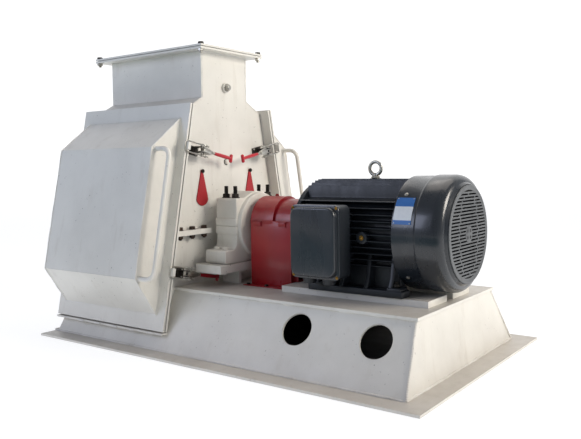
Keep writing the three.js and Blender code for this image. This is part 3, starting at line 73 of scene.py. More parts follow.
MILL_X = (INLET_LO[0] + INLET_HI[0]) / 2
SHAFT_Z = (COWL_LO[2] + COWL_HI[2]) / 2
MOTOR_X = SHIELD_LO[0]  # drive-end face
MOTOR_SEAT_Z = SHAFT_Z - 0.293 + 0.0003
COWL_X = MOTOR_X + 0.635  # the hood's open end
PAD_RISE = 0.031  # motor pads above the base's top plate
SIDE_X = CASING_HI[0]  # outer face of the drive side plate
SIDE_HALF = SIDE_X - MILL_X
DOOR_SLOPE = 0.2  # how far the doors lean in for each metre of height
LEAN = math.atan(DOOR_SLOPE)
SHOULDER_Y, SHOULDER_Z = 0.332, 1.305  # where the doors' plane meets the shoulders
PLATE_STACK = 0.032  # frame's inner face to the door's outer face
DOOR_HEIGHTS = (0.101, 1.327)
DOOR_W = tuple((z - SHOULDER_Z) / math.cos(LEAN) for z in DOOR_HEIGHTS)  # the same, up the slope
BULGE_HALF = 0.388
BULGE_DEPTH = 0.181
BULGE_FOOT = (DOOR_W[0] + 0.084, DOOR_W[1] - 0.084)
BULGE_FACE = (DOOR_W[0] + 0.265, DOOR_W[1] - 0.287)
WALL_FOOT_Y, WALL_TOP_Y = 0.627, 0.439  # the base's sloped side walls
WALL_SLOPE = (WALL_FOOT_Y - WALL_TOP_Y) / (SHELL_HI[2] - SHELL_LO[2])
HAND_HOLES_X = (1.255, 1.680)  # from the mill's middle
HAND_HOLE_Z = 0.206
SIDES = {"front": -1.0, "rear": 1.0}


def wall_y(z):
    """Half the base's width outside its sloped walls: falls evenly with height."""
    return WALL_FOOT_Y - WALL_SLOPE * (z - SHELL_LO[2])


def on_door(side, points):
    """Places on a leaning door, turned by its lean about the shoulder line.

    Points are (along the shaft from the mill's middle, into the housing, up the door).
    """
    p = np.asarray(points, float)
    y = -SHOULDER_Y + p[..., 1] * math.cos(LEAN) + p[..., 2] * math.sin(LEAN)
    z = SHOULDER_Z - p[..., 1] * math.sin(LEAN) + p[..., 2] * math.cos(LEAN)
    return np.stack([p[..., 0] + MILL_X, -SIDES[side] * y, z], axis=-1)


# ---------- colours and materials ----------
def linear(code, alpha=1.0):
    """An sRGB hex colour as linear RGBA."""
    c = np.array([int(code[i : i + 2], 16) for i in (1, 3, 5)]) / 255
    c = np.where(c <= 0.04045, c / 12.92, ((c + 0.055) / 1.055) ** 2.4)
    return (*c.tolist(), alpha)


def add(tree, kind, inputs=None, **settings):
    """Adds one node: settings are its properties, inputs its sockets as values or links."""
    n = tree.nodes.new(kind)
    for key, value in settings.items():
        setattr(n, key, value)
    for key, value in (inputs or {}).items():
        if isinstance(value, bpy.types.NodeSocket):
            tree.links.new(value, n.inputs[key])
        else:
            n.inputs[key].default_value = value
    return n


def ramp(tree, factor, low, high, dark=0.0, light=1.0):
    """Maps factor from low..high to dark..light, held at both ends."""
    limits = {0: factor, 1: low, 2: high, 3: dark, 4: light}
    return add(tree, "ShaderNodeMapRange", limits, clamp=True).outputs[0]


def new_material(name, roughness, metallic=0.0, coat=0.0, ior=1.5):
    """A material with its tree and shader; a metal keeps the default index of refraction."""
    m = bpy.data.materials.new(name)
    m.use_nodes = True
    shader = m.node_tree.nodes["Principled BSDF"]
    shader.inputs["Roughness"].default_value = roughness
    shader.inputs["Metallic"].default_value = metallic
    shader.inputs["Coat Weight"].default_value = coat
    shader.inputs["Coat Roughness"].default_value = 0.12
    if metallic < 0.5:
        shader.inputs["IOR"].default_value = ior
    return m, m.node_tree, shader


def blend_colour(tree, factor, a, b):
    """Colour a where factor is 0 and b where it is 1."""
    return add(tree, "ShaderNodeMix", {0: factor, 6: a, 7: b}, data_type="RGBA").outputs[2]


# Node kinds that most finishes use, the colours of grime, and the colour of the dust and painted shade on level
# tops.
NOISE, BUMP, MATH = "ShaderNodeTexNoise", "ShaderNodeBump", "ShaderNodeMath"
COORDINATES = "ShaderNodeTexCoord"
SPECKS, FLOOR_DUST, DUST_AND_SHADE_ON_TOPS = "#3E362F", "#8F8376", "#857A71"


def painted(
    name, colour, worn, dirt, peel_mm, peel, roughness, speck=0.0, dust=0.0, film=0.0, coat=0.0, wave=0.0
):
    """Sprayed enamel: drifts of tone, smudges that run down and dark specks.

    Dust thickens towards the floor. Level tops are darkened by a film that is partly dust and partly
    painted shade. The skin has an orange peel whose pitch is peel_mm, over a slow wave of the sheet.
    """
    m, t, shader = new_material(name, roughness, coat=coat)
    here = add(t, COORDINATES).outputs["Object"]
    drift = add(t, NOISE, {"Vector": here, "Scale": 2.6, "Detail": 4.0, "Roughness": 0.55}).outputs[0]
    tone = blend_colour(t, ramp(t, drift, 0.36, 0.68), linear(colour), linear(worn))
    drawn = add(t, "ShaderNodeMapping", {"Vector": here, "Scale": (9.0, 9.0, 1.6)}).outputs[0]
    run = add(t, NOISE, {"Vector": drawn, "Scale": 1.7, "Detail": 6.0, "Roughness": 0.62}).outputs[0]
    tone = blend_colour(t, ramp(t, run, 0.56, 0.86, 0.0, 0.42), tone, linear(dirt))
    if speck:
        grit = add(t, NOISE, {"Vector": here, "Scale": 78.0, "Detail": 2.0}).outputs[0]
        where = add(t, NOISE, {"Vector": here, "Scale": 5.0, "Detail": 2.0}).outputs[0]
        both = add(
            t, MATH, {0: ramp(t, grit, 0.70, 0.76), 1: ramp(t, where, 0.45, 0.62)}, operation="MULTIPLY"
        )
        tone = blend_colour(t, ramp(t, both.outputs[0], 0.0, 1.0, 0.0, speck), tone, linear(SPECKS))
    if dust:
        height = add(t, "ShaderNodeSeparateXYZ", {0: here}).outputs[2]
        low = ramp(t, height, 0.0, 0.30, dust, 0.0)
        cloud = add(t, NOISE, {"Vector": here, "Scale": 11.0, "Detail": 7.0, "Roughness": 0.66}).outputs[0]
        settled = add(t, MATH, {0: low, 1: ramp(t, cloud, 0.3, 0.7, 0.6, 1.0)}, operation="MULTIPLY")
        tone = blend_colour(t, settled.outputs[0], tone, linear(FLOOR_DUST))
    # Surfaces that face upward go darker: partly settled dust, partly painted shade.
    if film:
        facing = add(t, "ShaderNodeSeparateXYZ", {0: add(t, COORDINATES).outputs["Normal"]}).outputs[2]
        patch = add(t, NOISE, {"Vector": here, "Scale": 6.0, "Detail": 5.0, "Roughness": 0.6}).outputs[0]
        layer = add(
            t, MATH, {0: ramp(t, facing, 0.75, 0.97, 0.0, film), 1: ramp(t, patch, 0.25, 0.75, 0.65, 1.0)},
            operation="MULTIPLY"
        )
        tone = blend_colour(t, layer.outputs[0], tone, linear(DUST_AND_SHADE_ON_TOPS))
    t.links.new(tone, shader.inputs["Base Color"])
    t.links.new(ramp(t, run, 0.3, 0.8, roughness - 0.08, roughness + 0.14), shader.inputs["Roughness"])
    skin = add(t, NOISE, {"Vector": here, "Scale": 1000.0 / peel_mm, "Detail": 2.0}).outputs[0]
    bump = add(t, BUMP, {"Height": skin, "Strength": peel, "Distance": 0.0006})
    if wave:
        swell = add(t, NOISE, {"Vector": here, "Scale": 4.2, "Detail": 2.0}).outputs[0]
        under = add(t, BUMP, {"Height": swell, "Strength": wave, "Distance": 0.012})
        t.links.new(under.outputs[0], bump.inputs["Normal"])
    t.links.new(bump.outputs[0], shader.inputs["Normal"])
    return m


def bare_metal(name, colour, worn, roughness, grain_mm, bump_strength, grain=(1.0, 1.0, 1.0), metallic=1.0):
    """Uncoated metal: two tones in patches, and a grain, drawn out one way, that breaks the gloss."""
    m, t, shader = new_material(name, roughness, metallic)
    here = add(t, COORDINATES).outputs["Object"]
    drawn = add(t, "ShaderNodeMapping", {"Vector": here, "Scale": grain}).outputs[0]
    fine = add(t, NOISE, {"Vector": drawn, "Scale": 1000.0 / grain_mm, "Detail": 4.0}).outputs[0]
    patch = add(t, NOISE, {"Vector": here, "Scale": 14.0, "Detail": 5.0, "Roughness": 0.6}).outputs[0]
    tone = blend_colour(t, ramp(t, patch, 0.4, 0.66), linear(colour), linear(worn))
    t.links.new(tone, shader.inputs["Base Color"])
    t.links.new(ramp(t, fine, 0.3, 0.7, roughness - 0.1, roughness + 0.12), shader.inputs["Roughness"])
    bump = add(t, BUMP, {"Height": fine, "Strength": bump_strength, "Distance": 0.0004})
    t.links.new(bump.outputs[0], shader.inputs["Normal"])
    return m


# Two-pack enamel sprayed on welded sheet: creamy, semi-gloss, with a faint orange peel and hand-dirt. Its level
# tops are darkened by dust and painted shade.
CREAM = painted(
    "cream_sheet_enamel", "#E4E2DB", "#D8D6CF", "#B9B1A4", 3.5, 0.10, 0.40, speck=0.7, dust=0.26, film=0.55,
    wave=0.16
)
# The same enamel brushed over weld metal, a little whiter where it lies thick.
WELD = painted("enamel_on_weld", "#E9E8E4", "#D2CEC6", "#A79D90", 2.0, 0.25, 0.46, speck=0.7, dust=0.3)
# Enamel over a sand casting: the sand's grain shows through as a coarse skin. Its level tops are darkened by dust
# and painted shade.
CAST = painted("cream_cast_enamel", "#DEDBD3", "#CFCBC2", "#9C9284", 2.6, 0.55, 0.50, speck=0.5, film=0.35)
# Red gloss enamel on folded sheet.
RED = painted("red_guard_enamel", "#A3161F", "#8A1019", "#5A1A18", 3.0, 0.12, 0.34, coat=0.35)
# The same red on flat covers, thinner and scuffed.
COVER_RED = painted("red_cover_enamel", "#B01C26", "#98141E", "#6B2A26", 2.5, 0.2, 0.42)
# Dark slate machine enamel over cast iron.
SLATE = painted("slate_cast_enamel", "#1B1F25", "#22272D", "#34373A", 2.2, 0.4, 0.38)
# The same on pressed sheet, smoother and a little glossier.
SLATE_SHEET = painted("slate_sheet_enamel", "#1B2026", "#21272E", "#33363A", 3.0, 0.12, 0.29, coat=0.4)
# Grey enamel on the pressed grille: satin, a little darker where it is handled.
RIM_GREY = painted("grey_rim_enamel", "#5B5E61", "#4C4F52", "#3A3A38", 3.0, 0.2, 0.45)
# Bright zinc plating, dulled by handling.
ZINC = bare_metal("zinc_plating", "#C9C8C2", "#A6A298", 0.34, 1.2, 0.15)
# Black-oxide fasteners with an oil film.
BLACK_OXIDE = bare_metal("black_oxide_steel", "#2A2724", "#3B3733", 0.46, 1.5, 0.2, metallic=0.75)
# Plain bolts left bare and browned with oil.
BROWN_STEEL = bare_metal("browned_steel", "#4A3B31", "#2E2622", 0.5, 1.6, 0.3, metallic=0.7)
# Brackets in dull plating, much darker than the zinc.
DARK_PLATING = bare_metal("darkened_plating", "#5C5A56", "#34312E", 0.48, 1.6, 0.3, metallic=0.85)
# Brass screws.
BRASS = bare_metal("brass_screw", "#B08A45", "#8C6C34", 0.36, 1.2, 0.12)
# Turned shafting under oil, ground round its axis.
TURNED = bare_metal("turned_steel", "#8B8883", "#6F6B66", 0.32, 1.6, 0.18, grain=(6.0, 0.6, 0.6))
# Hammers and discs, rust-brown with worn patches.
WORN_IRON = bare_metal("worn_iron", "#57504A", "#6E5C4E", 0.62, 3.0, 0.5, metallic=0.7)
# Sealing rubber, matt and slightly bloomed.
RUBBER = painted("seal_rubber", "#1C1C1D", "#262626", "#34322F", 2.0, 0.3, 0.72)
# Moulded fan, matt black.
FAN_PLASTIC = painted("moulded_fan", "#1A1B1D", "#222325", "#2C2B29", 3.0, 0.2, 0.6)
# Dipped vinyl grips, soft gloss.
VINYL = painted("red_vinyl_dip", "#BE1B2B", "#A81524", "#7C1E22", 4.0, 0.2, 0.36, coat=0.2)
# Inside of the base: bare plate with mill scale and rust, dark enough that it also paints shade into the box's
# inside.
SCALE_AND_PAINTED_SHADE = painted("mill_scale_and_painted_shade", "#2B2725", "#35302C", "#4A3A2E", 6.0, 0.4, 0.78)


SCREEN_PITCH_MM = 7.0


def screen_sheet():
    """Punched sheet: 4 mm holes drawn as dark dots, because they are too fine to cut."""
    m = bare_metal("punched_screen_sheet", "#8E8B86", "#77736D", 0.42, 1.5, 0.15)
    t = m.node_tree
    shader = t.nodes["Principled BSDF"]
    here = add(t, COORDINATES).outputs["Object"]
    dots = add(
        t, "ShaderNodeTexVoronoi", {"Vector": here, "Scale": 1000.0 / SCREEN_PITCH_MM, "Randomness": 0.0}
    )
    tone = shader.inputs["Base Color"].links[0].from_socket
    holes = ramp(t, dots.outputs["Distance"], 0.26, 0.34, 1.0, 0.0)
    t.links.new(blend_colour(t, holes, tone, linear("#0C0B0A")), shader.inputs["Base Color"])
    return m


PLATE_Z = SHAFT_Z + 0.117
PLATE_FROM, PLATE_TO = 0.008, 0.100  # along the cowl, from its open end
PLATE_LOWER, PLATE_UPPER = 12.0, 39.7  # degrees above the shaft


def plate_with_bands():
    """A blank rating plate: white lacquer between two blue bands, told apart by height."""
    m, t, shader = new_material("printed_aluminium_plate", 0.38)
    here = add(t, COORDINATES).outputs["Object"]
    height = add(t, "ShaderNodeSeparateXYZ", {0: here}).outputs[2]
    cloud = add(t, NOISE, {"Vector": here, "Scale": 60.0, "Detail": 3.0}).outputs[0]
    white = blend_colour(t, cloud, linear("#E6E9EC"), linear("#D3D9DF"))
    blue = blend_colour(t, cloud, linear("#2C62A8"), linear("#3A74B8"))
    upper = ramp(t, height, PLATE_Z + 0.022, PLATE_Z + 0.0225)
    lower = ramp(t, height, PLATE_Z - 0.040, PLATE_Z - 0.0395, 1.0, 0.0)
    top = blend_colour(t, upper, white, blue)
    t.links.new(blend_colour(t, lower, top, blue), shader.inputs["Base Color"])
    return m


SCREEN = screen_sheet()
PLATE = plate_with_bands()

NODE_FINISH = {
    "cream_enamel": CREAM,
    "cast_cream": CAST,
    "guard_red": RED,
    "motor_enamel": SLATE,
    "rim_grey": RIM_GREY,
    "zinc": ZINC,
    "machined_steel": TURNED,
    "worn_iron": WORN_IRON,
    "screen_steel": SCREEN,
    "seal_rubber": RUBBER,
    "fan_plastic": FAN_PLASTIC,
}
for entry in frame["record"]["subparts"]:
    finish = NODE_FINISH[entry["material_slot"]]
    # The latch bases take the darker plating instead of zinc.
    if entry["node"].startswith("latch_base"):
        finish = DARK_PLATING
    cad = frame["nodes"][entry["node"]]
    cad.data.materials.clear()
    cad.data.materials.append(finish)


# ---------- surfaces as arrays ----------
def rings(points, caps=True):
    """A skin through rings of points, closed around and flat-capped at both ends."""
    p = np.asarray(points, float)
    n, k = p.shape[:2]
    i, j = np.meshgrid(np.arange(n - 1), np.arange(k), indexing="ij")
    nxt = (j + 1) % k
    quads = np.stack([i * k + j, i * k + nxt, (i + 1) * k + nxt, (i + 1) * k + j], -1).reshape(-1, 4)
    faces = quads.tolist()
    if caps:
        faces += [list(range(k))[::-1], list(range((n - 1) * k, n * k))]
    return p.reshape(-1, 3), faces


def doughnut(points):
    """A skin through rings of points that also closes from the last ring to the first."""
    p = np.asarray(points, float)
    n, k = p.shape[:2]
    i, j = np.meshgrid(np.arange(n), np.arange(k), indexing="ij")
    nxt, up = (j + 1) % k, (i + 1) % n
    quads = np.stack([i * k + j, i * k + nxt, up * k + nxt, up * k + j], -1).reshape(-1, 4)
    return p.reshape(-1, 3), quads.tolist()


def outward(part):
    """Turns a closed skin's faces round if the volume they enclose comes out negative."""
    v, faces = part
    total = 0.0
    for size in {len(f) for f in faces}:
        f = np.array([q for q in faces if len(q) == size])
        for k in range(1, size - 1):
            a, b, c = v[f[:, 0]], v[f[:, k]], v[f[:, k + 1]]
            total += np.einsum("ij,ij->i", a, np.cross(b, c)).sum()
    return (v, faces) if total > 0 else (v, [f[::-1] for f in faces])


def piece(name, parts, material, body, replaces=(), sharp=32.0):
    """One object from several closed skins, smooth except where faces meet at more than sharp degrees."""
    verts, faces, base = [], [], 0
    for part in parts:
        v, f = outward(part)
        verts.append(v)
        faces += [[i + base for i in face] for face in f]
        base += len(v)
    mesh = bpy.data.meshes.new(name)
    mesh.from_pydata(np.concatenate(verts).tolist(), [], faces)
    mesh.update()
    mesh.materials.append(material)
    mesh.polygons.foreach_set("use_smooth", np.ones(len(mesh.polygons), bool))
    mesh.set_sharp_from_angle(angle=math.radians(sharp))
    o = bpy.data.objects.new(name, mesh)
    bpy.context.scene.collection.objects.link(o)
    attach(o, body)
    if replaces:
        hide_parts(*replaces)
    return o


def axes_for(direction):
    """Two unit vectors square to a direction and to each other."""
    d = np.asarray(direction, float)
    d = d / np.linalg.norm(d)
    side = np.cross(d, [0.0, 0.0, 1.0] if abs(d[2]) < 0.9 else [1.0, 0.0, 0.0])
    side /= np.linalg.norm(side)
    return d, side, np.cross(d, side)


def turned(profile, centre, direction=(1, 0, 0), around=64):
    """Each (distance along, radius) pair becomes a circle round the axis through centre."""
    d, a, b = axes_for(direction)
    s, r = np.asarray(profile, float).T
    t = np.linspace(0, 2 * np.pi, around, endpoint=False)
    circle = np.cos(t)[:, None] * a + np.sin(t)[:, None] * b
    return rings(np.asarray(centre, float) + s[:, None, None] * d + r[:, None, None] * circle)


def turned_ring(profile, centre, direction=(1, 0, 0), around=96):
    """A closed (distance along, radius) outline swept round the axis: a hoop, a cowl or a bushing."""
    d, a, b = axes_for(direction)
    s, r = np.asarray(profile, float).T
    t = np.linspace(0, 2 * np.pi, around, endpoint=False)
    circle = np.cos(t)[:, None] * a + np.sin(t)[:, None] * b
    p = np.asarray(centre, float) + s[None, :, None] * d + r[None, :, None] * circle[:, None, :]
    return doughnut(p)


def hexagon_head(centre, direction, across, height):
    """A hexagon whose corners are cut back by a cone near the top; across is over its flats."""
    d, a, b = axes_for(direction)
    t = np.linspace(0, 2 * np.pi, 48, endpoint=False)
    hexagon = (across / 2) / np.cos((t + np.pi / 6) % (np.pi / 3) - np.pi / 6)
    circle = np.cos(t)[:, None] * a + np.sin(t)[:, None] * b
    s = np.array([0.0, 0.06, 0.80, 0.90, 1.0, 1.0])[:, None] * height
    cone = across / 2 * np.array([1.1, 1.16, 1.155, 1.06, 0.95, 0.55])[:, None]
    radius = np.minimum(hexagon[None, :], cone)
    return rings(np.asarray(centre, float) + s[..., None] * d + radius[..., None] * circle)


def bolt(centre, direction, size, height=None, washer=True, stud=0.0):
    """A hexagon head, or a nut on a stud end, over a washer; size is the thread's diameter."""
    d = np.asarray(direction, float) / np.linalg.norm(direction)
    c = np.asarray(centre, float)
    t = size * 0.17 if washer else 0.0
    height = height or size * 0.68
    parts = [hexagon_head(c + d * t * 0.9, d, size * 1.55, height)]
    if washer:
        profile = [
            (0, size * 0.6), (0, size * 1.04), (t * 0.7, size * 1.08), (t, size * 1.0), (t, size * 0.6)
        ]
        parts.append(turned(profile, c, d, 32))
    if stud:
        parts.append(threaded(c + d * (t + height * 0.9), d, size / 2, stud))
    return parts


def threaded(centre, direction, radius, length):
    """A stud end: circles whose radius ripples by the thread, with a chamfered tip."""
    turns = max(3, int(length / 0.0025))
    s = np.linspace(0, length, turns * 4 + 1)
    r = radius * (0.95 + 0.05 * np.sign(np.sin(2 * np.pi * s / length * turns + 0.3)))
    r[-1] = radius * 0.72
    profile = np.stack([s, r], 1)
    return turned(profile, centre, direction, 20)


def soft_block(lo, hi, r, steps=4):
    """A box with rounded edges: corners of a box smaller by r, plus r times the way each faces."""
    lo, hi = np.asarray(lo, float), np.asarray(hi, float)
    mid, half = (lo + hi) / 2, (hi - lo) / 2 - r
    quarter = (np.arange(steps) + 0.5) / steps * np.pi / 2
    lat = np.concatenate([quarter - np.pi / 2, quarter])
    lon = np.concatenate([quarter + k * np.pi / 2 for k in range(4)])
    u, v = np.meshgrid(lat, lon, indexing="ij")
    n = np.stack([np.cos(u) * np.cos(v), np.cos(u) * np.sin(v), np.sin(u)], -1)
    return rings(mid + np.sign(n) * half + r * n)


def beside(s, x, y, z, r):
    """A rounded box on side s of the middle plane: y is its near and far distance from there."""
    near, far = sorted((s * y[0], s * y[1]))
    return soft_block((x[0], near, z[0]), (x[1], far, z[1]), r)


def along(path, spacing):
    """Points every spacing metres along straight runs between the given ones."""
    p = np.asarray(path, float)
    step = np.linalg.norm(np.diff(p, axis=0), axis=1)
    s = np.concatenate([[0], np.cumsum(step)])
    n = max(2, int(s[-1] / spacing) + 1)
    where = np.linspace(0, s[-1], n)
    return np.stack([np.interp(where, s, p[:, i]) for i in range(3)], 1), where


def frames_along(p):
    """Directions along a path and two square to it, turned as little as possible from point to point."""
    d = np.gradient(p, axis=0)
    d /= np.linalg.norm(d, axis=1)[:, None]
    a = np.zeros_like(d)
    a[0] = axes_for(d[0])[1]
    for i in range(1, len(d)):
        a[i] = a[i - 1] - d[i] * (a[i - 1] @ d[i])
        a[i] /= np.linalg.norm(a[i])
    return d, a, np.cross(d, a)


def bar(path, radius, around=16):
    """A round bar along a smooth path; radius is one number or one per point."""
    p = np.asarray(path, float)
    _, a, b = frames_along(p)
    t = np.linspace(0, 2 * np.pi, around, endpoint=False)
    r = np.broadcast_to(radius, len(p))[:, None, None]
    ring = np.cos(t)[None, :, None] * a[:, None, :] + np.sin(t)[None, :, None] * b[:, None, :]
    return rings(p[:, None, :] + r * ring)


def bent(points, bend, steps=10):
    """A polyline with each corner replaced by a curve that blends the two runs it joins."""
    p = [np.asarray(q, float) for q in points]
    out = [p[0]]
    for before, corner, after in zip(p, p[1:], p[2:]):
        a = corner + (before - corner) / np.linalg.norm(before - corner) * bend
        b = corner + (after - corner) / np.linalg.norm(after - corner) * bend
        t = np.linspace(0, 1, steps)[:, None]
        out += list((1 - t) ** 2 * a + 2 * t * (1 - t) * (corner * 0.83 + (a + b) / 2 * 0.17) + t**2 * b)
    return np.array(out + [p[-1]])


rng = np.random.default_rng(7)


def bead(path, width=0.009, pitch=0.008):
    """A weld bead: a round bar whose radius ripples once per pool and wanders slowly."""
    p, s = along(path, pitch / 3.2)
    drifts = max(3, int(s[-1] / 0.035))
    slow = np.interp(s, np.linspace(0, s[-1], drifts), rng.normal(0, 1, drifts))
    r = width / 2 * (1 + 0.13 * np.sin(2 * np.pi * s / pitch) + 0.13 * slow)
    r[0] *= 0.3
    r[-1] *= 0.3
    _, a, b = frames_along(p)
    p = p + a * (0.0007 * slow)[:, None] + b * (0.0006 * slow[::-1])[:, None]
    t = np.linspace(0, 2 * np.pi, 7, endpoint=False)
    ring = np.cos(t)[None, :, None] * a[:, None, :] + np.sin(t)[None, :, None] * b[:, None, :]
    return rings(p[:, None, :] + np.clip(r, 0.0012, None)[:, None, None] * ring)


def stitches(start, end, length, gap, width=0.009):
    """Short beads in a row with gaps between them."""
    a, b = np.asarray(start, float), np.asarray(end, float)
    total = np.linalg.norm(b - a)
    count = max(1, int((total + gap) / (length + gap)))
    first = (total - count * length - (count - 1) * gap) / 2
    d = (b - a) / total
    starts = [first + i * (length + gap) for i in range(count)]
    return [bead([a + d * at, a + d * (at + length)], width) for at in starts]


def slab(outline, axis, lo, hi, r=0.0015, steps=1):
    """A flat plate: a closed outline square to axis, drawn in by r at both faces on a quarter circle."""
    q = np.asarray(outline, float)
    step = np.roll(q, -1, 0) - np.roll(q, 1, 0)
    normal = np.stack([step[:, 1], -step[:, 0]], 1) / np.linalg.norm(step, axis=1)[:, None]
    area = (q[:, 0] * np.roll(q[:, 1], -1) - np.roll(q[:, 0], -1) * q[:, 1]).sum()
    normal *= np.sign(area)
    turn = np.linspace(0, np.pi / 2, steps + 1)
    rim = [(1 - math.sin(a), 1 - math.cos(a)) for a in turn]
    others = [i for i in range(3) if i != axis]
    out = []
    for inset, height in [(d, lo + r * h) for d, h in rim] + [(d, hi - r * h) for d, h in rim[::-1]]:
        p = np.empty((len(q), 3))
        p[:, others] = q - normal * r * inset
        p[:, axis] = height
        out.append(p)
    return rings(np.array(out))


def softened(points, r, steps=5):
    """A closed outline with each corner curved from r before it to r after it, or half an edge."""
    q = np.asarray(points, float)
    out = []
    for before, corner, after in zip(np.roll(q, 1, 0), q, np.roll(q, -1, 0)):
        back, on = before - corner, after - corner
        a = corner + back * min(r / np.linalg.norm(back), 0.5)
        b = corner + on * min(r / np.linalg.norm(on), 0.5)
        t = np.linspace(0, 1, steps)[:, None]
        out.append((1 - t) ** 2 * a + 2 * t * (1 - t) * corner + t**2 * b)
    return np.concatenate(out)


def folded(outer, inner, lo, hi):
    """Sheet between two outlines with matching (across, height) points, from lo to hi in X."""
    p = np.empty((len(outer), 4, 3))
    p[:, :2, 1:] = np.asarray(outer)[:, None]
    p[:, 2:, 1:] = np.asarray(inner)[:, None]
    p[:, [0, 3], 0], p[:, [1, 2], 0] = lo, hi
    return rings(p)


# ---------- camera, floor and light ----------
CAMERA_AT = np.array([MILL_X + 3.1757, -3.1594, 0.9771])
AZIMUTH, PITCH, ROLL = (math.radians(v) for v in (36.368, 2.24, -0.829))


def set_camera():
    """Stands the camera where the machine is seen three quarters on from its motor end."""
    level = math.cos(PITCH)
    ahead = np.array([-math.sin(AZIMUTH) * level, math.cos(AZIMUTH) * level, -math.sin(PITCH)])
    right = np.array([math.cos(AZIMUTH), math.sin(AZIMUTH), 0.0])
    up = np.cross(right, ahead)
    across = math.cos(ROLL) * right + math.sin(ROLL) * up
    upward = -math.sin(ROLL) * right + math.cos(ROLL) * up
    turn = np.eye(4)
    turn[:3, 0], turn[:3, 1], turn[:3, 2], turn[:3, 3] = across, upward, -ahead, CAMERA_AT
    data = bpy.data.cameras.new("studio_camera")
    data.sensor_width = 36.0
    data.lens = 43.4
    data.shift_x, data.shift_y = 0.003, -0.045
    data.clip_end = 200.0
    camera = bpy.data.objects.new("studio_camera", data)
    bpy.context.scene.collection.objects.link(camera)
    camera.matrix_world = Matrix(turn.tolist())
    bpy.context.scene.camera = camera


def area_light(name, at, aim, size, power, colour):
    """A rectangular soft lamp at one place, turned to face another."""
    data = bpy.data.lights.new(name, "AREA")
    data.shape = "RECTANGLE"
    data.size, data.size_y = size
    data.energy = power
    data.color = linear(colour)[:3]
    lamp = bpy.data.objects.new(name, data)
    bpy.context.scene.collection.objects.link(lamp)
    back = np.asarray(at, float) - np.asarray(aim, float)
    z = back / np.linalg.norm(back)
    x = np.cross([0, 0, 1.0], z)
    x /= np.linalg.norm(x)
    turn = np.eye(4)
    turn[:3, 0], turn[:3, 1], turn[:3, 2], turn[:3, 3] = x, np.cross(z, x), z, at
    lamp.matrix_world = Matrix(turn.tolist())


def glowing(name, colour, strength, diffuse):
    """Backdrop paper: a pale sheet that also gives off a little light of its own."""
    m, _, shader = new_material(name, 0.9)
    shader.inputs["Base Color"].default_value = linear(diffuse)
    shader.inputs["Emission Color"].default_value = linear(colour)
    shader.inputs["Emission Strength"].default_value = strength
    return m


def stage_sheet(name, points, material):
    """A flat piece of the studio on four corners."""
    mesh = bpy.data.meshes.new(name)
    mesh.from_pydata(points, [], [(0, 1, 2, 3)])
    mesh.materials.append(material)
    sheet = bpy.data.objects.new(name, mesh)
    bpy.context.scene.collection.objects.link(sheet)
    return sheet


def camera_only(sheet):
    """A stage piece that gives the picture its background and adds no light of its own."""
    sheet.visible_diffuse = sheet.visible_glossy = sheet.visible_transmission = False
    sheet.visible_shadow = False


def white_room(radius):
    """A sphere round the whole studio: radius times the unit direction of each angle pair."""
    around = np.linspace(0, 2 * math.pi, 49)[:-1]
    upward = np.linspace(-0.5 * math.pi, 0.5 * math.pi, 25)[1:-1]
    u, v = np.meshgrid(around, upward)
    points = radius * np.stack([np.cos(u) * np.cos(v), np.sin(u) * np.cos(v), np.sin(v)], -1)
    rows, columns = u.shape
    k = np.arange(rows * columns).reshape(rows, columns)
    n = np.roll(k, -1, 1)
    quads = np.stack([k[:-1], k[1:], n[1:], n[:-1]], -1).reshape(-1, 4)
    faces = quads.tolist() + [k[0].tolist(), k[-1][::-1].tolist()]
    mesh = bpy.data.meshes.new("studio_room")
    mesh.from_pydata(points.reshape(-1, 3).tolist(), [], faces)
    mesh.materials.append(glowing("white_room_paper", "#FFFFFF", 1.0, "#808080"))
    room = bpy.data.objects.new("studio_room", mesh)
    bpy.context.scene.collection.objects.link(room)
    camera_only(room)


def flat(x, y, z):
    """Four corners of a level rectangle."""
    return [(x[0], y[0], z), (x[1], y[0], z), (x[1], y[1], z), (x[0], y[1], z)]


def set_studio():
    """A pale floor, a white backdrop, a card for reflections and three soft lamps."""
    size = 30.0
    paper = glowing("pale_studio_floor", "#FFFFFF", 0.80, "#8C8E92")
    floor = stage_sheet("studio_floor", flat((-size, size), (-size, size), 0), paper)
    floor.location.z = -0.0015
    back = [(-size, 4.5, -0.2), (12, 29, -0.2), (12, 29, size), (-size, 4.5, size)]
    stage_sheet("studio_backdrop", back, glowing("white_backdrop", "#FFFFFF", 1.0, "#808080"))
    paper = glowing("green_grey_card", "#6F9094", 0.05, "#6F9094")
    card = stage_sheet("green_grey_card", flat((-5, 5), (-9, -1.9), 0.001), paper)
    card.visible_camera = card.visible_shadow = False  # it only shows as a reflection
    white_room(60.0)
    world = bpy.data.worlds.new("studio_world")
    world.use_nodes = True
    background = world.node_tree.nodes["Background"]
    background.inputs[0].default_value = linear("#E6ECF8")
    background.inputs[1].default_value = 0.30
    bpy.context.scene.world = world
    bpy.context.scene.view_settings.view_transform = "Standard"
    area_light("key_from_the_motor_end", (5.6, 0.9, 3.4), (0.2, 0, 0.7), (2.6, 2.6), 290.0, "#FFF7EC")
    area_light("cool_front", (-3.6, -5.4, 3.4), (-0.6, 0, 0.9), (3.0, 3.0), 120.0, "#DCE4FF")
    area_light("top_soft", (0.4, 1.6, 5.2), (0.3, 0, 0.4), (4.0, 3.0), 60.0, "#FFF6EC")


set_camera()
set_studio()


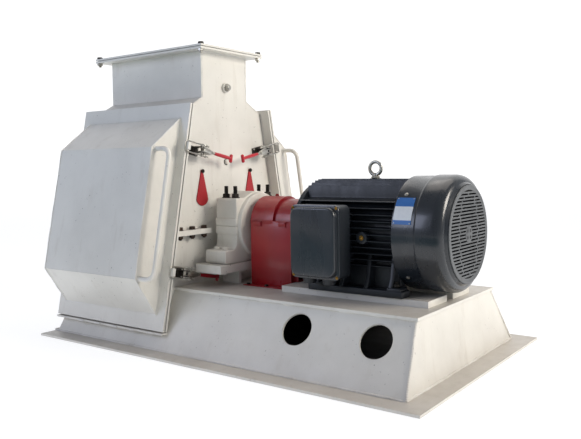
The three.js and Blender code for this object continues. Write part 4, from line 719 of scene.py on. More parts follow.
# ---------- doors ----------
def door_handle(side):
    """A round bar bent twice at each end, standing off the bulge's flank."""
    leaf, radius = "door_leaf_" + side, 0.013
    y = -PLATE_STACK - BULGE_DEPTH + 0.027
    top, bottom = BULGE_FACE[1] - 0.003, BULGE_FACE[0] + 0.003
    x0, x1 = BULGE_HALF + 0.0003, corners("door_handle_" + side)[1][0] - radius - MILL_X
    path = bent([(x0, y, top), (x1, y, top), (x1, y, bottom), (x0, y, bottom)], 0.05, 12)
    grip = bar(on_door(side, along(path, 0.008)[0]), radius, 24)
    piece("door_handle_bar_" + side, [grip], CREAM, leaf, ["door_handle_" + side])
    turn, collar = np.linspace(0, 2 * math.pi, 17), radius + 0.002
    collars = []
    for w in (top, bottom):
        ring = [(x0 + 0.002, y + collar * math.cos(t), w + collar * math.sin(t)) for t in turn]
        collars.append(bead(on_door(side, ring), 0.008))
    piece("door_handle_welds_" + side, collars, WELD, leaf)


def door_welds(side):
    """Beads along the bulge's edges and round its foot, and a rounded fold along its face."""
    x = BULGE_HALF
    plate, face = -PLATE_STACK, -PLATE_STACK - BULGE_DEPTH
    (f0, f1), (g0, g1) = BULGE_FOOT, BULGE_FACE
    flank = [(plate, f1), (face, g1), (face, g0), (plate, f0)]
    beads = []
    for s in (-x, x):
        beads.append(bead(on_door(side, [(s, y, w) for y, w in flank]), 0.008))
        beads.append(bead(on_door(side, [(s, plate, f1), (s, plate, f0)]), 0.009))
    beads += [bead(on_door(side, [(-x, plate, w), (x, plate, w)]), 0.007) for w in (f1, f0)]
    piece("door_bulge_welds_" + side, beads, WELD, "door_leaf_" + side)
    folds = []
    for w in (g1, g0):
        edge = on_door(side, [(-x + 0.002, face + 0.0012, w), (x - 0.002, face + 0.0012, w)])
        folds.append(bar(along(edge, 0.05)[0], 0.0022, 12))
    piece("door_bulge_folds_" + side, folds, CREAM, "door_leaf_" + side)


def frame_welds(side):
    """The frame's joint with the side plates, and the stitches under the door along the sill."""
    beads = []
    for x in (-SIDE_HALF - 0.001, SIDE_HALF + 0.001):
        beads.append(bead(on_door(side, [(x, 0.0, DOOR_W[0] + 0.01), (x, 0.0, 0.0)]), 0.007))
    for half, y, z, *sizes in (
        (0.44, 0.6125, 0.094, 0.055, 0.09, 0.011), (0.38, 0.3295, 1.3085, 0.05, 0.11, 0.008)
    ):
        y *= SIDES[side]
        beads += stitches((MILL_X - half, y, z), (MILL_X + half, y, z), *sizes)
    piece("frame_welds_" + side, beads, WELD, "mill")


LATCH_DROPS = {"upper": 0.220, "lower": 0.90904}  # below the shoulder line, down the door
LATCH_X, LATCH_Y = 0.474, 0.075  # the lever's pivot
LATCH_REACH = 0.255  # lever pivot to the cross bar
LEGS = 0.030  # half distance between the loop's legs
LOOP_ARM, LOOP_BACK = 0.028, 0.008  # the loop's cross pin from the pivot


def latch(side, level, drop):
    """A toggle: a riveted base, a flat folded lever with a dipped grip, and a threaded loop."""
    tag = f"{side}_{level}"
    x, y, w = LATCH_X, LATCH_Y, -drop
    centre = x - 0.002

    def at(points):
        """The same points, laid on this side's door."""
        return on_door(side, points)

    cheek = [(-0.012, -0.012), (0.010, -0.010), (0.011, 0.020), (0.006, 0.066),
             (0.002, 0.082), (-0.006, 0.082), (-0.011, 0.060), (-0.016, 0.030)]
    outline = [(x + dx, y + dy) for dx, dy in cheek]
    steel = []
    for s in (-1, 1):
        verts, faces = slab(outline, 2, w + s * 0.0095 - 0.0016, w + s * 0.0095 + 0.0016, 0.0005)
        steel.append((at(verts), faces))
    verts, faces = soft_block((x - 0.009, y + 0.012, w - 0.009), (x + 0.005, y + 0.078, w + 0.009), 0.002)
    steel.append((at(verts), faces))
    steel.append(bar(at([(centre, y + q, w) for q in np.linspace(0.088, 0.215, 12)]), 0.0066, 20))
    for s in (-1, 1):
        yoke = [(centre, y + q, w + s * out) for q, out in ((0.020, 0.0165), (0.050, 0.0165), (0.096, 0.003))]
        steel.append(bar(at(along(bent(yoke, 0.02, 8), 0.004)[0]), 0.0048, 16))
    button = [(0, 0.009), (0.004, 0.009), (0.006, 0.006), (0.0065, 0.003)]
    for s in (-1, 1):
        a, b = at([(x, y, w + s * 0.010), (x, y, w + s * 0.019)])
        steel.append(turned(button, a + (b - a) * 0.85, b - a, 24))
    hx, hy = x - LOOP_BACK, y + math.sqrt(LOOP_ARM**2 - LOOP_BACK**2)
    cross = at([(hx, hy, w - LEGS - 0.005), (hx, hy, w + LEGS + 0.005)])
    steel.append(bar(along(cross, 0.006)[0], 0.0042, 16))
    arm = "latch_arm_" + tag
    piece("latch_lever_steel_" + tag, steel, ZINC, arm, ["latch_lever_" + tag])

    tip, first = LATCH_REACH - 0.002, 0.108
    q = np.linspace(first, tip, 40)
    swell = 0.0088 + 0.0018 * np.sin(np.pi * (q - first) / 0.145)
    swell = swell - 0.0016 * (q < first + 0.003) + 0.0005 * np.sin(q * 2 * np.pi / 0.007)
    grip = bar(at(np.stack([np.full(40, centre), y + q, np.full(40, w)], 1)), swell, 24)
    t = np.linspace(-1, 1, 25)
    tee_r = 0.0098 * np.sqrt(np.clip(1.0 - np.abs(t) ** 9, 0.05, 1))
    tee = bar(at(np.stack([np.full(25, centre), np.full(25, y + tip), w + t * 0.0255], 1)), tee_r, 24)
    piece("latch_grip_" + tag, [grip, tee], VINYL, arm)

    far, tail = -PLATE_STACK - 0.016, hy + 0.034
    path = bent(
        [(hx, tail, w - LEGS), (hx, far, w - LEGS), (hx, far, w + LEGS), (hx, tail, w + LEGS)], 0.015, 9
    )
    parts = [bar(at(along(path, 0.003)[0]), 0.004, 16)]
    eye = [(0, 0.0052), (0, 0.0088), (0.0008, 0.0094), (0.0062, 0.0094), (0.007, 0.0088), (0.007, 0.0052)]
    for s in (-1, 1):
        leg = w + s * LEGS
        a, b = at([(hx, hy, leg - s * 0.0035), (hx, hy, leg + s * 0.0035)])
        parts.append(turned_ring(eye, a, b - a, 32))
        for q in (0.017, -0.010):
            a, b = at([(hx, hy + q, leg), (hx, hy + q - 0.007, leg)])
            parts.append(hexagon_head(a, b - a, 0.0145, 0.007))
        a, b = at([(hx, hy + 0.036, leg), (hx, hy - 0.050, leg)])
        parts.append(threaded(a, b - a, 0.0045, 0.086))
    piece("latch_loop_bar_" + tag, parts, ZINC, "latch_loop_" + tag, ["latch_hook_" + tag])

    rivet, rivets = [(0, 0.0062), (0.0015, 0.0060), (0.0032, 0.0042), (0.0038, 0.0015)], []
    for dy in (-0.031, 0.041):
        for dw in (-0.018, 0.018):
            seat = at((SIDE_HALF + 0.0082, y + dy, w + dw))
            rivets.append(turned(rivet, seat, (1, 0, 0), 24))
    piece("latch_rivets_" + tag, rivets, ZINC, "mill")


for side in SIDES:
    door_handle(side)
    door_welds(side)
    frame_welds(side)
    for level, drop in LATCH_DROPS.items():
        latch(side, level, drop)


# ---------- housing ----------
def spout_welds():
    """Fillets under the inlet flange, down the spout's corners and along the shoulders."""
    z = INLET_LO[2] - 0.001
    y = abs(CASING_HI[1])
    x0, x1 = CASING_LO[0], CASING_HI[0]
    corner = flat((x0, x1), (-y, y), z)
    beads = [bead([*corner, corner[0]], 0.009)]
    for x in (x0, x1):
        for s in (-1, 1):
            beads.append(bead([(x, s * 0.1925, z), (x, s * 0.1925, 1.377), (x, s * 0.323, 1.306)], 0.006))
    piece("spout_welds", beads, WELD, "mill")


def inlet_fasteners():
    """Black bolts through the flange pair at its corners, with zinc nuts below."""
    inset, size = 0.018, 0.0195
    x = (INLET_HI[0] - INLET_LO[0]) / 2 - inset
    y = INLET_HI[1] - inset
    heads, nuts = [], []
    for bx, by, _ in flat((-x, x), (-y, y), 0):
        heads += bolt((MILL_X + bx, by, COUNTER_HI[2] - 0.010), (0, 0, 1), size, 0.0125, washer=False)
        nuts += bolt(
            (MILL_X + bx, by, INLET_LO[2] - 0.0004), (0, 0, -1), size, 0.0135, washer=False, stud=0.012
        )
    piece("inlet_bolt_heads", heads, BLACK_OXIDE, "mill")
    piece("inlet_nuts", nuts, ZINC, "mill")


def split_bar_fasteners():
    """Three bolts through each clamp bar of the housing joint: head and washer above, nut below."""
    top, under, welds = [], [], []
    first, last = 0.198, 0.462
    for end in (-1, 1):
        bx = MILL_X + end * (SIDE_HALF + 0.0308)
        face = MILL_X + end * (SIDE_HALF + 0.0005)
        for s in (-1, 1):
            for t in (0.14, 0.5, 0.86):
                y = s * (first + (last - first) * t)
                top += bolt((bx, y, 0.630), (0, 0, 1), 0.0185, 0.0155)
                under += bolt((bx, y, 0.601), (0, 0, -1), 0.0185, 0.0155, stud=0.008)
            for z in (0.6305, 0.6005):
                welds.append(bead([(face, s * (first + 0.003), z), (face, s * (last - 0.003), z)], 0.007))
    piece("split_bar_heads", top, BROWN_STEEL, "mill")
    piece("split_bar_nuts", under, BROWN_STEEL, "mill")
    piece("split_bar_welds", welds, WELD, "mill")


def pin_cover(side):
    """A teardrop plate, straight between a small and a large circle, hung on a black bolt."""
    sign = SIDES[side]
    py, pz, drop, big, small = 0.21449, 0.95499, 0.148, 0.051, 0.009
    lean = math.asin((big - small) / drop)
    head = np.linspace(-lean, math.pi + lean, 20)
    foot = np.linspace(math.pi + lean, 2 * math.pi - lean, 48)
    outline = np.concatenate([
        np.stack([sign * py + small * np.cos(head), pz + small * np.sin(head)], 1),
        np.stack([sign * py + big * np.cos(foot), pz - drop + big * np.sin(foot)], 1)])
    x0 = SIDE_X + 0.0008
    plate = slab(outline, 0, x0, x0 + 0.0058, 0.0016)
    piece(
        "pin_cover_plate_" + side, [plate], COVER_RED, "pin_cover_" + side, ["pin_cover_" + side]
    )
    seat = (SIDE_X + 0.0072, sign * py, pz)
    tip = turned([(0.0090, 0.0052), (0.0125, 0.0052), (0.0135, 0.0042)], seat, (1, 0, 0), 16)
    head = hexagon_head(seat, (1, 0, 0), 0.0205, 0.0095)
    piece("pin_cover_bolt_" + side, [head, tip], BLACK_OXIDE, "mill")


PLUG_Z, FLAP_Z = 1.007, 1.447


def plug_and_boss():
    """A domed plug on a rubber washer, and a boss with a nut on the feed flap's shaft."""
    at = (SIDE_X + 0.0004, 0.0, PLUG_Z)
    dome = turned([(0.002, 0.0150), (0.010, 0.0150), (0.0150, 0.0125), (0.0172, 0.0075), (0.0176, 0.002)], at)
    piece("side_plug_dome", [dome], CAST, "mill", ["side_plug"])
    washer = turned([(0, 0.0185), (0.0014, 0.0190), (0.0024, 0.0180), (0.0024, 0.003)], at)
    piece("side_plug_washer", [washer], RUBBER, "mill")
    at = (SIDE_X + 0.0006, 0.0, FLAP_Z)
    boss = turned([(0, 0.0290), (0.0140, 0.0290), (0.0168, 0.0265), (0.0168, 0.003)], at)
    piece("flap_boss", [boss], CREAM, "feed_flap")
    nut = bolt((SIDE_X + 0.0172, 0.0, FLAP_Z), (1, 0, 0), 0.0230, 0.014, stud=0.006)
    piece("flap_boss_nut", nut, ZINC, "feed_flap")


spout_welds()
plug_and_boss()
inlet_fasteners()
split_bar_fasteners()
for side in SIDES:
    pin_cover(side)


# ---------- base ----------
def base_welds():
    """Beads round the foot of the box, up its corners, under the top plate and at the pedestal."""
    foot_x, foot_y = (SHELL_LO[0], SHELL_HI[0]), SHELL_HI[1]
    top_x, top_y = TOP_HI[0] - 0.013, TOP_HI[1] - 0.012
    z0, z1 = FLOOR_HI[2] + 0.001, TOP_HI[2] - (PAD_RISE + 0.0145)
    corner = flat(foot_x, (-foot_y, foot_y), z0)
    beads = [bead([*corner, corner[0]], 0.013, 0.010)]
    for s in (-1, 1):
        beads.append(bead([(foot_x[1], s * foot_y, z0), (top_x, s * top_y, z1)], 0.012, 0.010))
        beads += stitches((FRAME_HI[0] + 0.03, s * top_y, z1), (top_x, s * top_y, z1), 0.06, 0.10, 0.010)
    beads += stitches((top_x, -top_y, z1), (top_x, top_y, z1), 0.06, 0.10, 0.010)
    lo, hi = corners("pedestal_drive")
    x0, x1, z = lo[0] + 0.040, hi[0] - 0.026, TOP_HI[2] - PAD_RISE + 0.001
    beads += [bead([(x0, y, z), (x1, y, z)], 0.010) for y in (-0.165, 0.165)]
    piece("base_welds", beads, WELD, "mill")


def hole_rims():
    """A ground rim round each hand hole: a thin hoop lying in the sloped wall."""
    profile = [
        (0.0002, 0.0797), (0.0012, 0.0803), (0.0014, 0.0820), (0.0004, 0.0834), (-0.0022, 0.0834),
        (-0.0022, 0.0797)
    ]
    hoops = []
    for x in HAND_HOLES_X:
        for s in (-1, 1):
            centre = (MILL_X + x, s * wall_y(HAND_HOLE_Z), HAND_HOLE_Z)
            hoops.append(turned_ring(profile, centre, (0.0, s, WALL_SLOPE), 72))
    piece("hand_hole_rims", hoops, CREAM, "mill")


def base_lining():
    """Bare plate behind the painted walls: thin dark sheets just inside the box, open at the hand holes, that
    also paint shade onto the inside.
    """
    gap, t, clear = 0.0162, 0.001, 0.081
    z0, z1 = FLOOR_HI[2] + 0.002, TOP_HI[2] - PAD_RISE - 0.0165
    below, above = 0.138, 0.274  # the lining's edges under and over each hole
    x0, x1 = FRAME_HI[0] - 0.02, SHELL_HI[0] - 0.016
    x1_top = TOP_HI[0] - 0.012 - 0.016
    holes = [(MILL_X + x - clear, MILL_X + x + clear) for x in HAND_HOLES_X]
    edges = [x0, *holes[0], *holes[1], x1_top]
    parts = []

    def sheet(a, b, c, d, into):
        """A thin slab on four corners, thickened towards into."""
        ring = np.array([a, b, c, d], float)
        parts.append(rings(np.stack([ring, ring + np.asarray(into) * t])))

    for s in (-1, 1):
        def side_sheet(left, right, low, high):
            """Lining along this wall between two places along the shaft and two heights."""
            around = ((left, low), (right, low), (right, high), (left, high))
            sheet(*[(x, s * (wall_y(z) - gap), z) for x, z in around], (0, -s, 0))

        for left, right in zip(edges[::2], edges[1::2]):
            side_sheet(left, right, z0, z1)
        for left, right in holes:
            side_sheet(left, right, z0, below)
            side_sheet(left, right, above, z1)
    low, high = 0.600, 0.418
    sheet((x1, -low, z0), (x1, low, z0), (x1_top, high, z1), (x1_top, -high, z1), (-1, 0, 0))
    sheet(*flat((x0, x1_top), (-high, high), z1), (0, 0, -1))
    sheet(*flat((x0, x1), (-low, low), z0), (0, 0, 1))
    sheet((x0, -low, z0), (x0, low, z0), (x0, high, z1), (x0, -high, z1), (1, 0, 0))
    # The dark lining is partly bare scaled plate and partly painted shade for the inside.
    piece("base_lining", parts, SCALE_AND_PAINTED_SHADE, "mill")


base_welds()
hole_rims()
base_lining()

# ---------- bearings ----------
def arch(half, top, foot, steps=40):
    """Upright walls under a round top, as (across, height) points from the right foot round."""
    t = np.linspace(0, np.pi, steps)
    over = np.stack([half * np.cos(t), top - half + half * np.sin(t)], 1)
    return np.concatenate([[(half, foot)], over, [(-half, foot)]])


def arc_points(radius, start, end, steps=24):
    """Points of a circle round the shaft from one angle to another, in degrees above horizontal."""
    t = np.radians(np.linspace(start, end, steps))
    return np.stack([radius * np.cos(t), SHAFT_Z + radius * np.sin(t)], 1)


def swept(outline, x, start, end, around=48):
    """A closed (distance along, radius) outline swept through part of a turn about the shaft."""
    s, r = np.asarray(outline, float).T
    t = np.radians(np.linspace(start, end, around))
    p = np.empty((around, len(s), 3))
    p[..., 0] = x + s
    p[..., 1] = r * np.cos(t)[:, None]
    p[..., 2] = SHAFT_Z + r * np.sin(t)[:, None]
    return rings(p)


def bearing(side):
    """A split pillow block: castings that meet at shaft height, a stepped cover, studs and heads."""
    flip = 1.0 if side == "drive" else -1.0
    bore, split = 0.0472, 0.0002
    back, front = 0.474, 0.624
    seat = SHAFT_Z - 0.203
    ends = sorted((MILL_X + flip * back, MILL_X + flip * front))
    top, lower = SHAFT_Z + 0.157, SHAFT_Z - 0.127
    block = [(0.190, SHAFT_Z + split), (0.190, top), (0.118, top)]
    crown = arc_points(0.192, 54.9, 125.1, 30)
    shell = softened([*block, *crown[1:-1:4], *[(-y, z) for y, z in block[::-1]]], 0.014)
    cap = np.concatenate([shell[3:-3], arc_points(bore, 180, 0)])
    heel = [(0.190, SHAFT_Z - split), (0.190, lower + 0.030), (0.206, lower), (0.288, lower), (0.288, seat)]
    foot = softened([(0.0, SHAFT_Z - split), *heel, *[(-y, z) for y, z in heel[::-1]]], 0.016)
    foot = foot[np.abs(foot[:, 0]) > bore]
    base = np.concatenate([foot, arc_points(bore, -180, 0)])
    collar = [(-0.002, bore), (-0.002, 0.184), (0.018, 0.184), (0.0232, 0.1825), (0.0257, 0.178),
              (0.0258, 0.176), (0.0258, 0.110), (0.0225, 0.106), (0.0225, 0.070), (0.0255, 0.066), (0.0255, bore)]
    boss = [(0.002, bore), (0.002, 0.130), (-0.012, 0.130), (-0.017, 0.125), (-0.018, 0.120), (-0.018, bore)]

    def band(z0, z1):
        """A rounded strip on each side of the bore, between two heights."""
        lo, hi = sorted((MILL_X + flip * (back - 0.003), MILL_X + flip * (front + 0.003)))
        return [beside(s, (lo, hi), (0.137, 0.197), (z0, z1), 0.006) for s in (1, -1)]

    def round_parts(start, end):
        """The stepped cover and the boss behind it, swept from one angle to another."""
        return [swept([(flip * s, r) for s, r in collar], MILL_X + flip * front, start, end),
                swept([(flip * s, r) for s, r in boss], MILL_X + flip * back, start, end)]

    for half, outline, heights, turn in (("cap", cap, (split, 0.045), (0.1, 179.9)),
                                         ("base", base, (-0.045, -split), (-179.9, -0.1))):
        bands = band(SHAFT_Z + heights[0], SHAFT_Z + heights[1])
        tag = f"bearing_{half}_{side}"
        castings = [slab(outline, 0, *ends, 0.006, 4), *bands, *round_parts(*turn)]
        piece(tag + "_casting", castings, CAST, "mill", [tag])
    middle = MILL_X + flip * (back + front) / 2
    studs, heads = [], []
    dome = [(0, 0.0165), (0.011, 0.0162), (0.0145, 0.0135), (0.0158, 0.008), (0.016, 0.003)]
    for sx in (-1, 1):
        for sy in (-1, 1):
            studs += bolt((middle + sx * 0.034, sy * 0.148, top), (0, 0, 1), 0.0235, 0.021, stud=0.045)
            heads.append(turned(dome, (middle + sx * 0.0313, sy * 0.240, lower), (0, 0, 1), 32))
    piece("bearing_studs_" + side, studs, BLACK_OXIDE, "mill")
    piece("bearing_foot_heads_" + side, heads, CAST, "mill")


for side in ("drive", "outboard"):
    bearing(side)


# ---------- coupling guard ----------
def guard():
    """Folded sheet: a box with an arched lid that steps down half way, a collar, tabs and feet."""
    x0 = ARCH_LO[0]
    x1, step = x0 + 0.274, x0 + 0.154
    hood_x = (x1 - 0.001, x1 + 0.026)
    t, half, low_half = 0.004, 0.148, 0.134
    top, low_top = SHAFT_Z + 0.165, SHAFT_Z + 0.151
    foot, split = TOP_HI[2] - PAD_RISE + 0.0003, SHAFT_Z + 0.035
    over = split + 0.0006
    collar, collar_top, collar_foot = 0.118, SHAFT_Z + 0.118, SHAFT_Z - 0.291
    way = 0.057  # the shaft's hole
    side_angle = math.degrees(math.asin((split - SHAFT_Z) / way))
    high, high_in = arch(half, top, over), arch(half - t, top - t, over)
    low, low_in = arch(low_half, low_top, over), arch(low_half - t, low_top - t, over)
    hood, hood_in = arch(collar, collar_top, over), arch(collar - t, collar_top - t, over)
    above = [
        folded(high, high_in, x0, step - t),
        folded(low, low_in, step - 0.003, x1),
        folded(high, low, step - t, step),
        slab(
            np.concatenate([high, arc_points(way, 180 - side_angle, side_angle, 24)]), 0, x0, x0 + t, 0.0012
        ),
        folded(low, hood, x1 - t + 0.0002, x1 + 0.0002),
        folded(hood, hood_in, *hood_x),
    ]
    lug = [(0.065, -0.003), (0.089, -0.003), (0.089, 0.006), (0.084, 0.013), (0.070, 0.013), (0.065, 0.006)]
    above.append(slab([(x0 + dx, top + dz) for dx, dz in lug], 1, -0.003, 0.003, 0.001))
    piece("guard_lid_sheet", above, RED, "mill", ["coupling_guard_upper"])

    def trough(y, z):
        """Three sides of a box below the joint, as (across, height) points."""
        return np.array([(y, split), (y, z), (-y, z), (-y, split)])

    u, hole = trough(half, foot), trough(collar, collar_foot)
    end = np.concatenate([u, arc_points(way, side_angle, -180 - side_angle, 40)[::-1]])
    under = [slab(end, 0, x0, x0 + t, 0.0012), folded(u, hole, x1 - t, x1),
             folded(hole, trough(collar - t, collar_foot + t), *hood_x)]
    bolts = []
    for s in (-1, 1):
        under.append(beside(s, (x0, x1), (half - t, half), (foot, split), 0.0018))
        under.append(beside(s, (step - t, x1), (low_half - t, half), (split - t, split), 0.0015))
        under.append(
            beside(s, (x0 - 0.022, x1 - 0.008), (half - 0.001, half + 0.050), (foot, foot + t), 0.0018)
        )
        for at in (x0 + 0.018, x0 + 0.188):
            clasp, depth = (at, at + 0.066), (split - 0.006, split - 0.002)
            under.append(beside(s, clasp, (half - 0.001, half + 0.012), depth, 0.0016))
            clasp, depth = (at + 0.008, at + 0.058), (split - 0.030, split - 0.005)
            under.append(beside(s, clasp, (half - 0.001, half + 0.007), depth, 0.003))
        for at in (0.004, 0.128, 0.252):
            bolts += bolt((x0 + at, s * (half + 0.029), foot + t), (0, 0, 1), 0.012, 0.008)
    piece("guard_box_sheet", under, RED, "mill", ["coupling_guard_lower"])
    piece("guard_foot_bolts", bolts, BLACK_OXIDE, "mill")


guard()


# ---------- motor ----------
CORE_R, FIN_R, FIN_PITCH = 0.214, 0.263, 0.031


def fin(offset, upright, x0, x1):
    """A cast rib that tapers from the frame's core to a round tip on the fins' circle."""
    sign = math.copysign(1.0, upright) if upright else 1.0
    tip = math.sqrt(FIN_R**2 - (abs(offset) + 0.003) ** 2)
    root = math.sqrt(CORE_R**2 - offset**2) - 0.006
    half = [(root, -0.0062), (root + 0.012, -0.0040), (tip - 0.003, -0.0026), (tip, -0.0012)]
    section = np.array(half + [(d, -w) for d, w in half[::-1]])
    if upright:
        outline = np.stack([offset + section[:, 1], SHAFT_Z + sign * section[:, 0]], 1)
        return slab(outline, 0, x0, x1, 0.0012)
    pair = [np.stack([s * section[:, 0], SHAFT_Z + offset + section[:, 1]], 1) for s in (-1, 1)]
    return [slab(outline, 0, x0, x1, 0.0012) for outline in pair]


def motor_housing():
    """The cast frame: a tube with an end wall, ribs, feet with webs, and pads for box and eye bolt."""
    x0, x1 = MOTOR_X + 0.0703, MOTOR_X + 0.633
    length, inner, bore, wall = x1 - x0, 0.192, 0.0345, 0.024
    tube = [
        (0, inner), (0, CORE_R), (length, CORE_R), (length, bore), (length - wall, bore),
        (length - wall, inner)
    ]
    parts = [turned_ring(tube, (x0, 0, SHAFT_Z))]
    for i in range(-5, 6):
        parts += fin(i * FIN_PITCH, 0, x0, x1)
    parts += [fin(i * FIN_PITCH, 1, x0, x1) for i in range(-4, 5)]
    seat = MOTOR_SEAT_Z
    web = [(0.120, seat), (0.245, seat), (0.250, seat + 0.036), (0.226, seat + 0.085), (0.208, SHAFT_Z - 0.120),
           (0.196, SHAFT_Z - 0.090), (0.120, SHAFT_Z - 0.090)]
    skirt = [
        (0.128, seat), (0.176, seat), (0.174, seat + 0.040), (0.160, SHAFT_Z - 0.12), (0.120, SHAFT_Z - 0.12)
    ]
    for s in (-1, 1):
        foot_x = (MOTOR_X + 0.150, MOTOR_X + 0.680)
        parts.append(beside(s, foot_x, (0.172, 0.256), (seat, seat + 0.034), 0.006))
        for x in (MOTOR_X + 0.162, MOTOR_X + 0.594):
            parts.append(beside(s, (x, x + 0.076), (0.176, 0.252), (seat + 0.02, seat + 0.047), 0.007))
        for x in (0.190, 0.330, 0.470, 0.600):
            outline = [(s * y, z) for y, z in web]
            parts.append(slab(outline, 0, MOTOR_X + x, MOTOR_X + x + 0.022, 0.005, 3))
        outline = [(s * y, z) for y, z in skirt]
        parts.append(slab(outline, 0, MOTOR_X + 0.175, x1 - 0.002, 0.004, 3))
    pad_x, pad_z = (BOX_LO[0] + 0.024, BOX_HI[0] - 0.024), (SHAFT_Z - 0.140, SHAFT_Z + 0.090)
    parts.append(beside(-1, pad_x, (0.184, 0.2637), pad_z, 0.008))
    eye = MOTOR_X + 0.404
    parts.append(
        soft_block((eye - 0.026, -0.026, SHAFT_Z + 0.204), (eye + 0.026, 0.026, SHAFT_Z + 0.265), 0.007)
    )
    boss = (eye + 0.066, -0.206, SHAFT_Z - 0.016)
    profile = [(0, 0.031), (0.052, 0.030), (0.0565, 0.0285), (0.058, 0.025), (0.0575, 0.014), (0.0575, 0.006)]
    parts.append(turned(profile, boss, (0, -1, 0), 40))
    piece("motor_housing", parts, SLATE, "mill", ["motor_frame"])
    at = np.array([boss[0], -0.2635, boss[2]])
    screw = [turned([(0, 0.0125), (0.0014, 0.0122), (0.0016, 0.0095)], at, (0, -1, 0), 28),
             turned(
                 [(0.001, 0.0085), (0.0055, 0.0082), (0.0075, 0.0064), (0.0084, 0.0030)], at, (0, -1, 0), 28
             )]
    piece("earth_screw", screw, BRASS, "mill")
    bolts = []
    for s in (-1, 1):
        for x in (0.238, 0.632):
            bolts += bolt((MOTOR_X + x, s * 0.216, seat + 0.047), (0, 0, 1), 0.018, stud=0.012)
    piece("motor_foot_bolts", bolts, BLACK_OXIDE, "mill")


def end_shield():
    """A dished cover turned about the shaft, with a rolled rim and bolts round it."""
    profile = [(0, 0.0345), (0, 0.092), (0.002, 0.096), (0.012, 0.102), (0.017, 0.110), (0.026, 0.172),
               (0.030, 0.188), (0.044, 0.236), (0.047, 0.240), (0.068, 0.240), (0.070, 0.238), (0.070, 0.184),
               (0.046, 0.164), (0.040, 0.080), (0.070, 0.080), (0.070, 0.0345)]
    piece(
        "motor_shield_casting", [turned_ring(profile, (MOTOR_X, 0, SHAFT_Z))], SLATE, "mill",
        ["motor_end_shield"]
    )
    bolts = []
    for k in range(6):
        a = math.radians(30 + 60 * k)
        at = (MOTOR_X + 0.0385, 0.216 * math.cos(a), SHAFT_Z + 0.216 * math.sin(a))
        bolts += bolt(at, (-1, 0, 0), 0.012, washer=False)
    piece("motor_shield_bolts", bolts, BLACK_OXIDE, "mill")


def cowl():
    """The fan's hood, turned about the shaft: two bands and a rounded shoulder to the grille."""
    t = np.linspace(0, np.pi / 2, 12)
    length, wide, step = 0.264, 0.283, 0.115
    shoulder = np.stack([length - 0.064 + 0.052 * np.sin(t), wide - 0.036 * (1 - np.cos(t))], 1)
    outer = [
        (0.0, 0.2765), (0.002, 0.278), (step - 0.001, 0.278), (step + 0.002, 0.2792), (step + 0.007, 0.2822),
        (step + 0.012, wide)
    ]
    outer += shoulder.tolist() + [(length, 0.2372), (length, 0.236)]
    inner = [
        (length - 0.005, 0.2325), (length - 0.019, 0.243), (length - 0.034, 0.262), (length - 0.064, 0.279),
        (0.0, 0.2735)
    ]
    piece(
        "fan_cowl_sheet", [turned_ring(outer + inner, (COWL_X, 0, SHAFT_Z), around=128)], SLATE_SHEET, "mill",
        ["fan_cowl"]
    )
    screws = []
    for degrees in (44, 136, 226, 314):
        a = math.radians(degrees)
        out = np.array([0.0, math.cos(a), math.sin(a)])
        at = np.array([COWL_X + 0.045, 0, SHAFT_Z]) + out * 0.2778
        screws.append(turned([(0, 0.0105), (0.0012, 0.0103), (0.0015, 0.0078)], at, out, 28))
        screws.append(
            turned([(0.001, 0.0070), (0.0032, 0.0068), (0.0048, 0.0048), (0.0052, 0.0018)], at, out, 28)
        )
    piece("cowl_screws", screws, ZINC, "mill")


def grille():
    """A flat ring filled with level bars, bridged so the gaps read as slots, with a small hub."""
    x = GRILLE_LO[0]
    rim, reach, hub = 0.234, 0.213, 0.040
    frame_ring = [(0.0, reach - 0.003), (0.0035, reach - 0.003), (0.0035, 0.222), (0.0050, 0.225),
                  (0.0050, 0.2315), (0.0035, rim), (0.0, rim)]
    parts = [turned_ring(frame_ring, (x, 0, SHAFT_Z)),
             turned([(0.0, hub), (0.0036, hub), (0.0042, hub - 0.001), (0.0042, 0.004)], (x, 0, SHAFT_Z))]

    def strip(y0, y1, z, share, r):
        """One flat bar between two distances across, whose height is twice this share of the pitch."""
        low, high = SHAFT_Z + z - pitch * share, SHAFT_Z + z + pitch * share
        parts.append(soft_block((x + 0.0002, y0, low), (x + 0.0034, y1, high), r, 2))

    rows = 27
    pitch = 2 * reach / rows
    for i in range(rows - 1):
        z = -reach + pitch * (i + 1)
        half = math.sqrt(reach**2 - z**2) + 0.001
        strip(-half, half, z, 0.27, 0.0008)
    for i in range(rows):
        z = -reach + pitch * (i + 0.5)
        half = math.sqrt(max(reach**2 - z**2, 0.0))
        places = [-half * 0.52, half * 0.52] if half > 0.12 else ([0.0] if half > 0.07 else [])
        for y in places:
            y += 0.010 * math.sin(i * 1.9)
            strip(y - 0.005, y + 0.005, z, 0.3, 0.0006)
    piece("cowl_grille_sheet", parts, RIM_GREY, "mill", ["cowl_grille"])
    dots = []
    for k in range(4):
        a = math.radians(45 + 90 * k)
        y, z = 0.022 * math.cos(a), SHAFT_Z + 0.022 * math.sin(a)
        dots.append(
            turned([(0, 0.0085), (0.0003, 0.0085), (0.0003, 0.001)], (x + 0.0042, y, z), (1, 0, 0), 20)
        )
    piece("grille_hub_holes", dots, FAN_PLASTIC, "mill")


def rounded(x0, x1, z0, z1, r, steps=10):
    """A rectangle with round corners, as (along, height) points."""
    out = []
    for cx, cz, start in (
        (x1 - r, z1 - r, 0), (x0 + r, z1 - r, 90), (x0 + r, z0 + r, 180), (x1 - r, z0 + r, 270)
    ):
        t = np.radians(np.linspace(start, start + 90, steps))
        out.append(np.stack([cx + r * np.cos(t), cz + r * np.sin(t)], 1))
    return np.concatenate(out)


def layers_y(layers):
    """Outlines at given depths along Y, joined into one skin."""
    return rings(np.array([np.stack([q[:, 0], np.full(len(q), y), q[:, 1]], 1) for q, y in layers]))


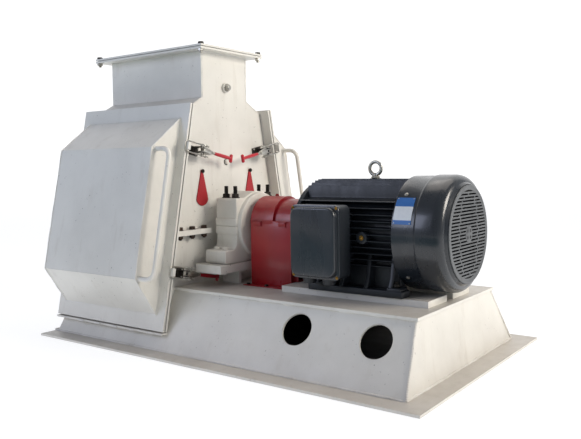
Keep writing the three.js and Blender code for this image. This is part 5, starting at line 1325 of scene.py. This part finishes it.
def terminal_box():
    """A cast box open to the front, a raised lid with cut-away corners, and two tapered entries."""
    (x0, front, z0), (x1, back, z1) = BOX_LO, BOX_HI
    z0 += 0.036

    def inset(d, r):
        """The outline drawn in by d, with corners of radius r."""
        return rounded(x0 + d, x1 - d, z0 + d, z1 - d, r)

    body = layers_y([(inset(0.006, 0.022), back), (inset(0.001, 0.025), back - 0.005),
                     (inset(0, 0.026), back - 0.012),
                     (inset(0, 0.026), front), (inset(0.008, 0.020), front),
                     (inset(0.008, 0.020), back - 0.009)])
    hubs = []
    for f in (0.24, 0.66):
        at = (x0 + (x1 - x0) * f, (front + back) / 2, z0 + 0.003)
        profile = [(0, 0.039), (0.004, 0.0388), (0.030, 0.0325), (0.0365, 0.0315), (0.0385, 0.029),
                   (0.0388, 0.022), (0.030, 0.020), (0.030, 0.004)]
        hubs.append(turned(profile, at, (0, 0, -1), 48))
    piece("terminal_box_casting", [body, *hubs], SLATE, "mill", ["terminal_box"])
    (x0, tip, z0), (x1, rear, z1) = LID_LO, LID_HI
    rim = layers_y([(inset(0.002, 0.026), rear), (inset(0, 0.028), rear - 0.002),
                    (inset(0, 0.028), rear - 0.009),
                    (inset(0.001, 0.027), rear - 0.0112), (inset(0.003, 0.026), rear - 0.012)])
    crown = [(inset(0.0085, 0.046), rear - 0.011)]
    for a in np.linspace(0, np.pi / 2, 7):
        drawn = 1 - math.cos(a)
        crown.append(
            (inset(0.0115 + 0.010 * drawn, 0.044 - 0.009 * drawn), tip + 0.010 - 0.010 * math.sin(a))
        )
    piece(
        "terminal_lid_casting", [rim, layers_y(crown)], SLATE_SHEET, "mill",
        ["terminal_box_lid"]
    )
    screws = []
    washer = [(0, 0.0080), (0.0012, 0.0078), (0.0014, 0.0062)]
    head = [
        (0.001, 0.0058), (0.0042, 0.0056), (0.0056, 0.0042), (0.0056, 0.0026), (0.0036, 0.0024),
        (0.0036, 0.0005)
    ]
    for x in (x0 + 0.0145, x1 - 0.0145):
        for z in (z0 + 0.0145, z1 - 0.0145):
            screws += [turned(profile, (x, rear - 0.0119, z), (0, -1, 0), 24) for profile in (washer, head)]
    piece("terminal_lid_screws", screws, BRASS, "mill")


def eye_bolt():
    """A forged ring on a flared collar: circles carried round it, a little flatter than deep."""
    x, z = (EYE_LO[0] + EYE_HI[0]) / 2, EYE_HI[2] - 0.042
    u, v = (np.linspace(0, 2 * np.pi, n, endpoint=False) for n in (64, 24))
    u, v = np.meshgrid(u, v, indexing="ij")
    thick = 0.0088 + 0.0008 * (0.5 - 0.5 * np.sin(u))
    radius = 0.0330 + thick * np.cos(v)
    ring = doughnut(np.stack([x + radius * np.cos(u), 0.92 * thick * np.sin(v), z + radius * np.sin(u)], -1))
    profile = [
        (0, 0.0215), (0.003, 0.0226), (0.008, 0.0222), (0.0105, 0.0190), (0.013, 0.0135), (0.019, 0.0115),
        (0.026, 0.0130)
    ]
    collar = turned(profile, (x, 0, EYE_LO[2]), (0, 0, 1), 40)
    piece("eye_bolt_forging", [ring, collar], ZINC, "mill", ["eye_bolt"])


def rating_plate():
    """A blank printed plate curved round the hood, held by rivets."""
    x0, x1, r, thick = COWL_X + PLATE_FROM, COWL_X + PLATE_TO, 0.2785, 0.0012
    start, end = 180 - PLATE_UPPER, 180 - PLATE_LOWER
    outline = [(0, r), (x1 - x0, r), (x1 - x0, r + thick), (0, r + thick)]
    piece("rating_plate", [swept(outline, x0, start, end, 20)], PLATE, "mill")
    rivets = []
    for x in (x0 + 0.006, x1 - 0.006):
        for degrees in (start + 1.2, end - 1.2):
            a = math.radians(degrees)
            out = np.array([0.0, math.cos(a), math.sin(a)])
            at = np.array([x, 0, SHAFT_Z]) + out * (r + thick)
            rivets.append(turned([(0, 0.0030), (0.0008, 0.0028), (0.0014, 0.0016)], at, out, 16))
    piece("rating_plate_rivets", rivets, ZINC, "mill")


motor_housing()
end_shield()
cowl()
grille()
terminal_box()
eye_bolt()
rating_plate()
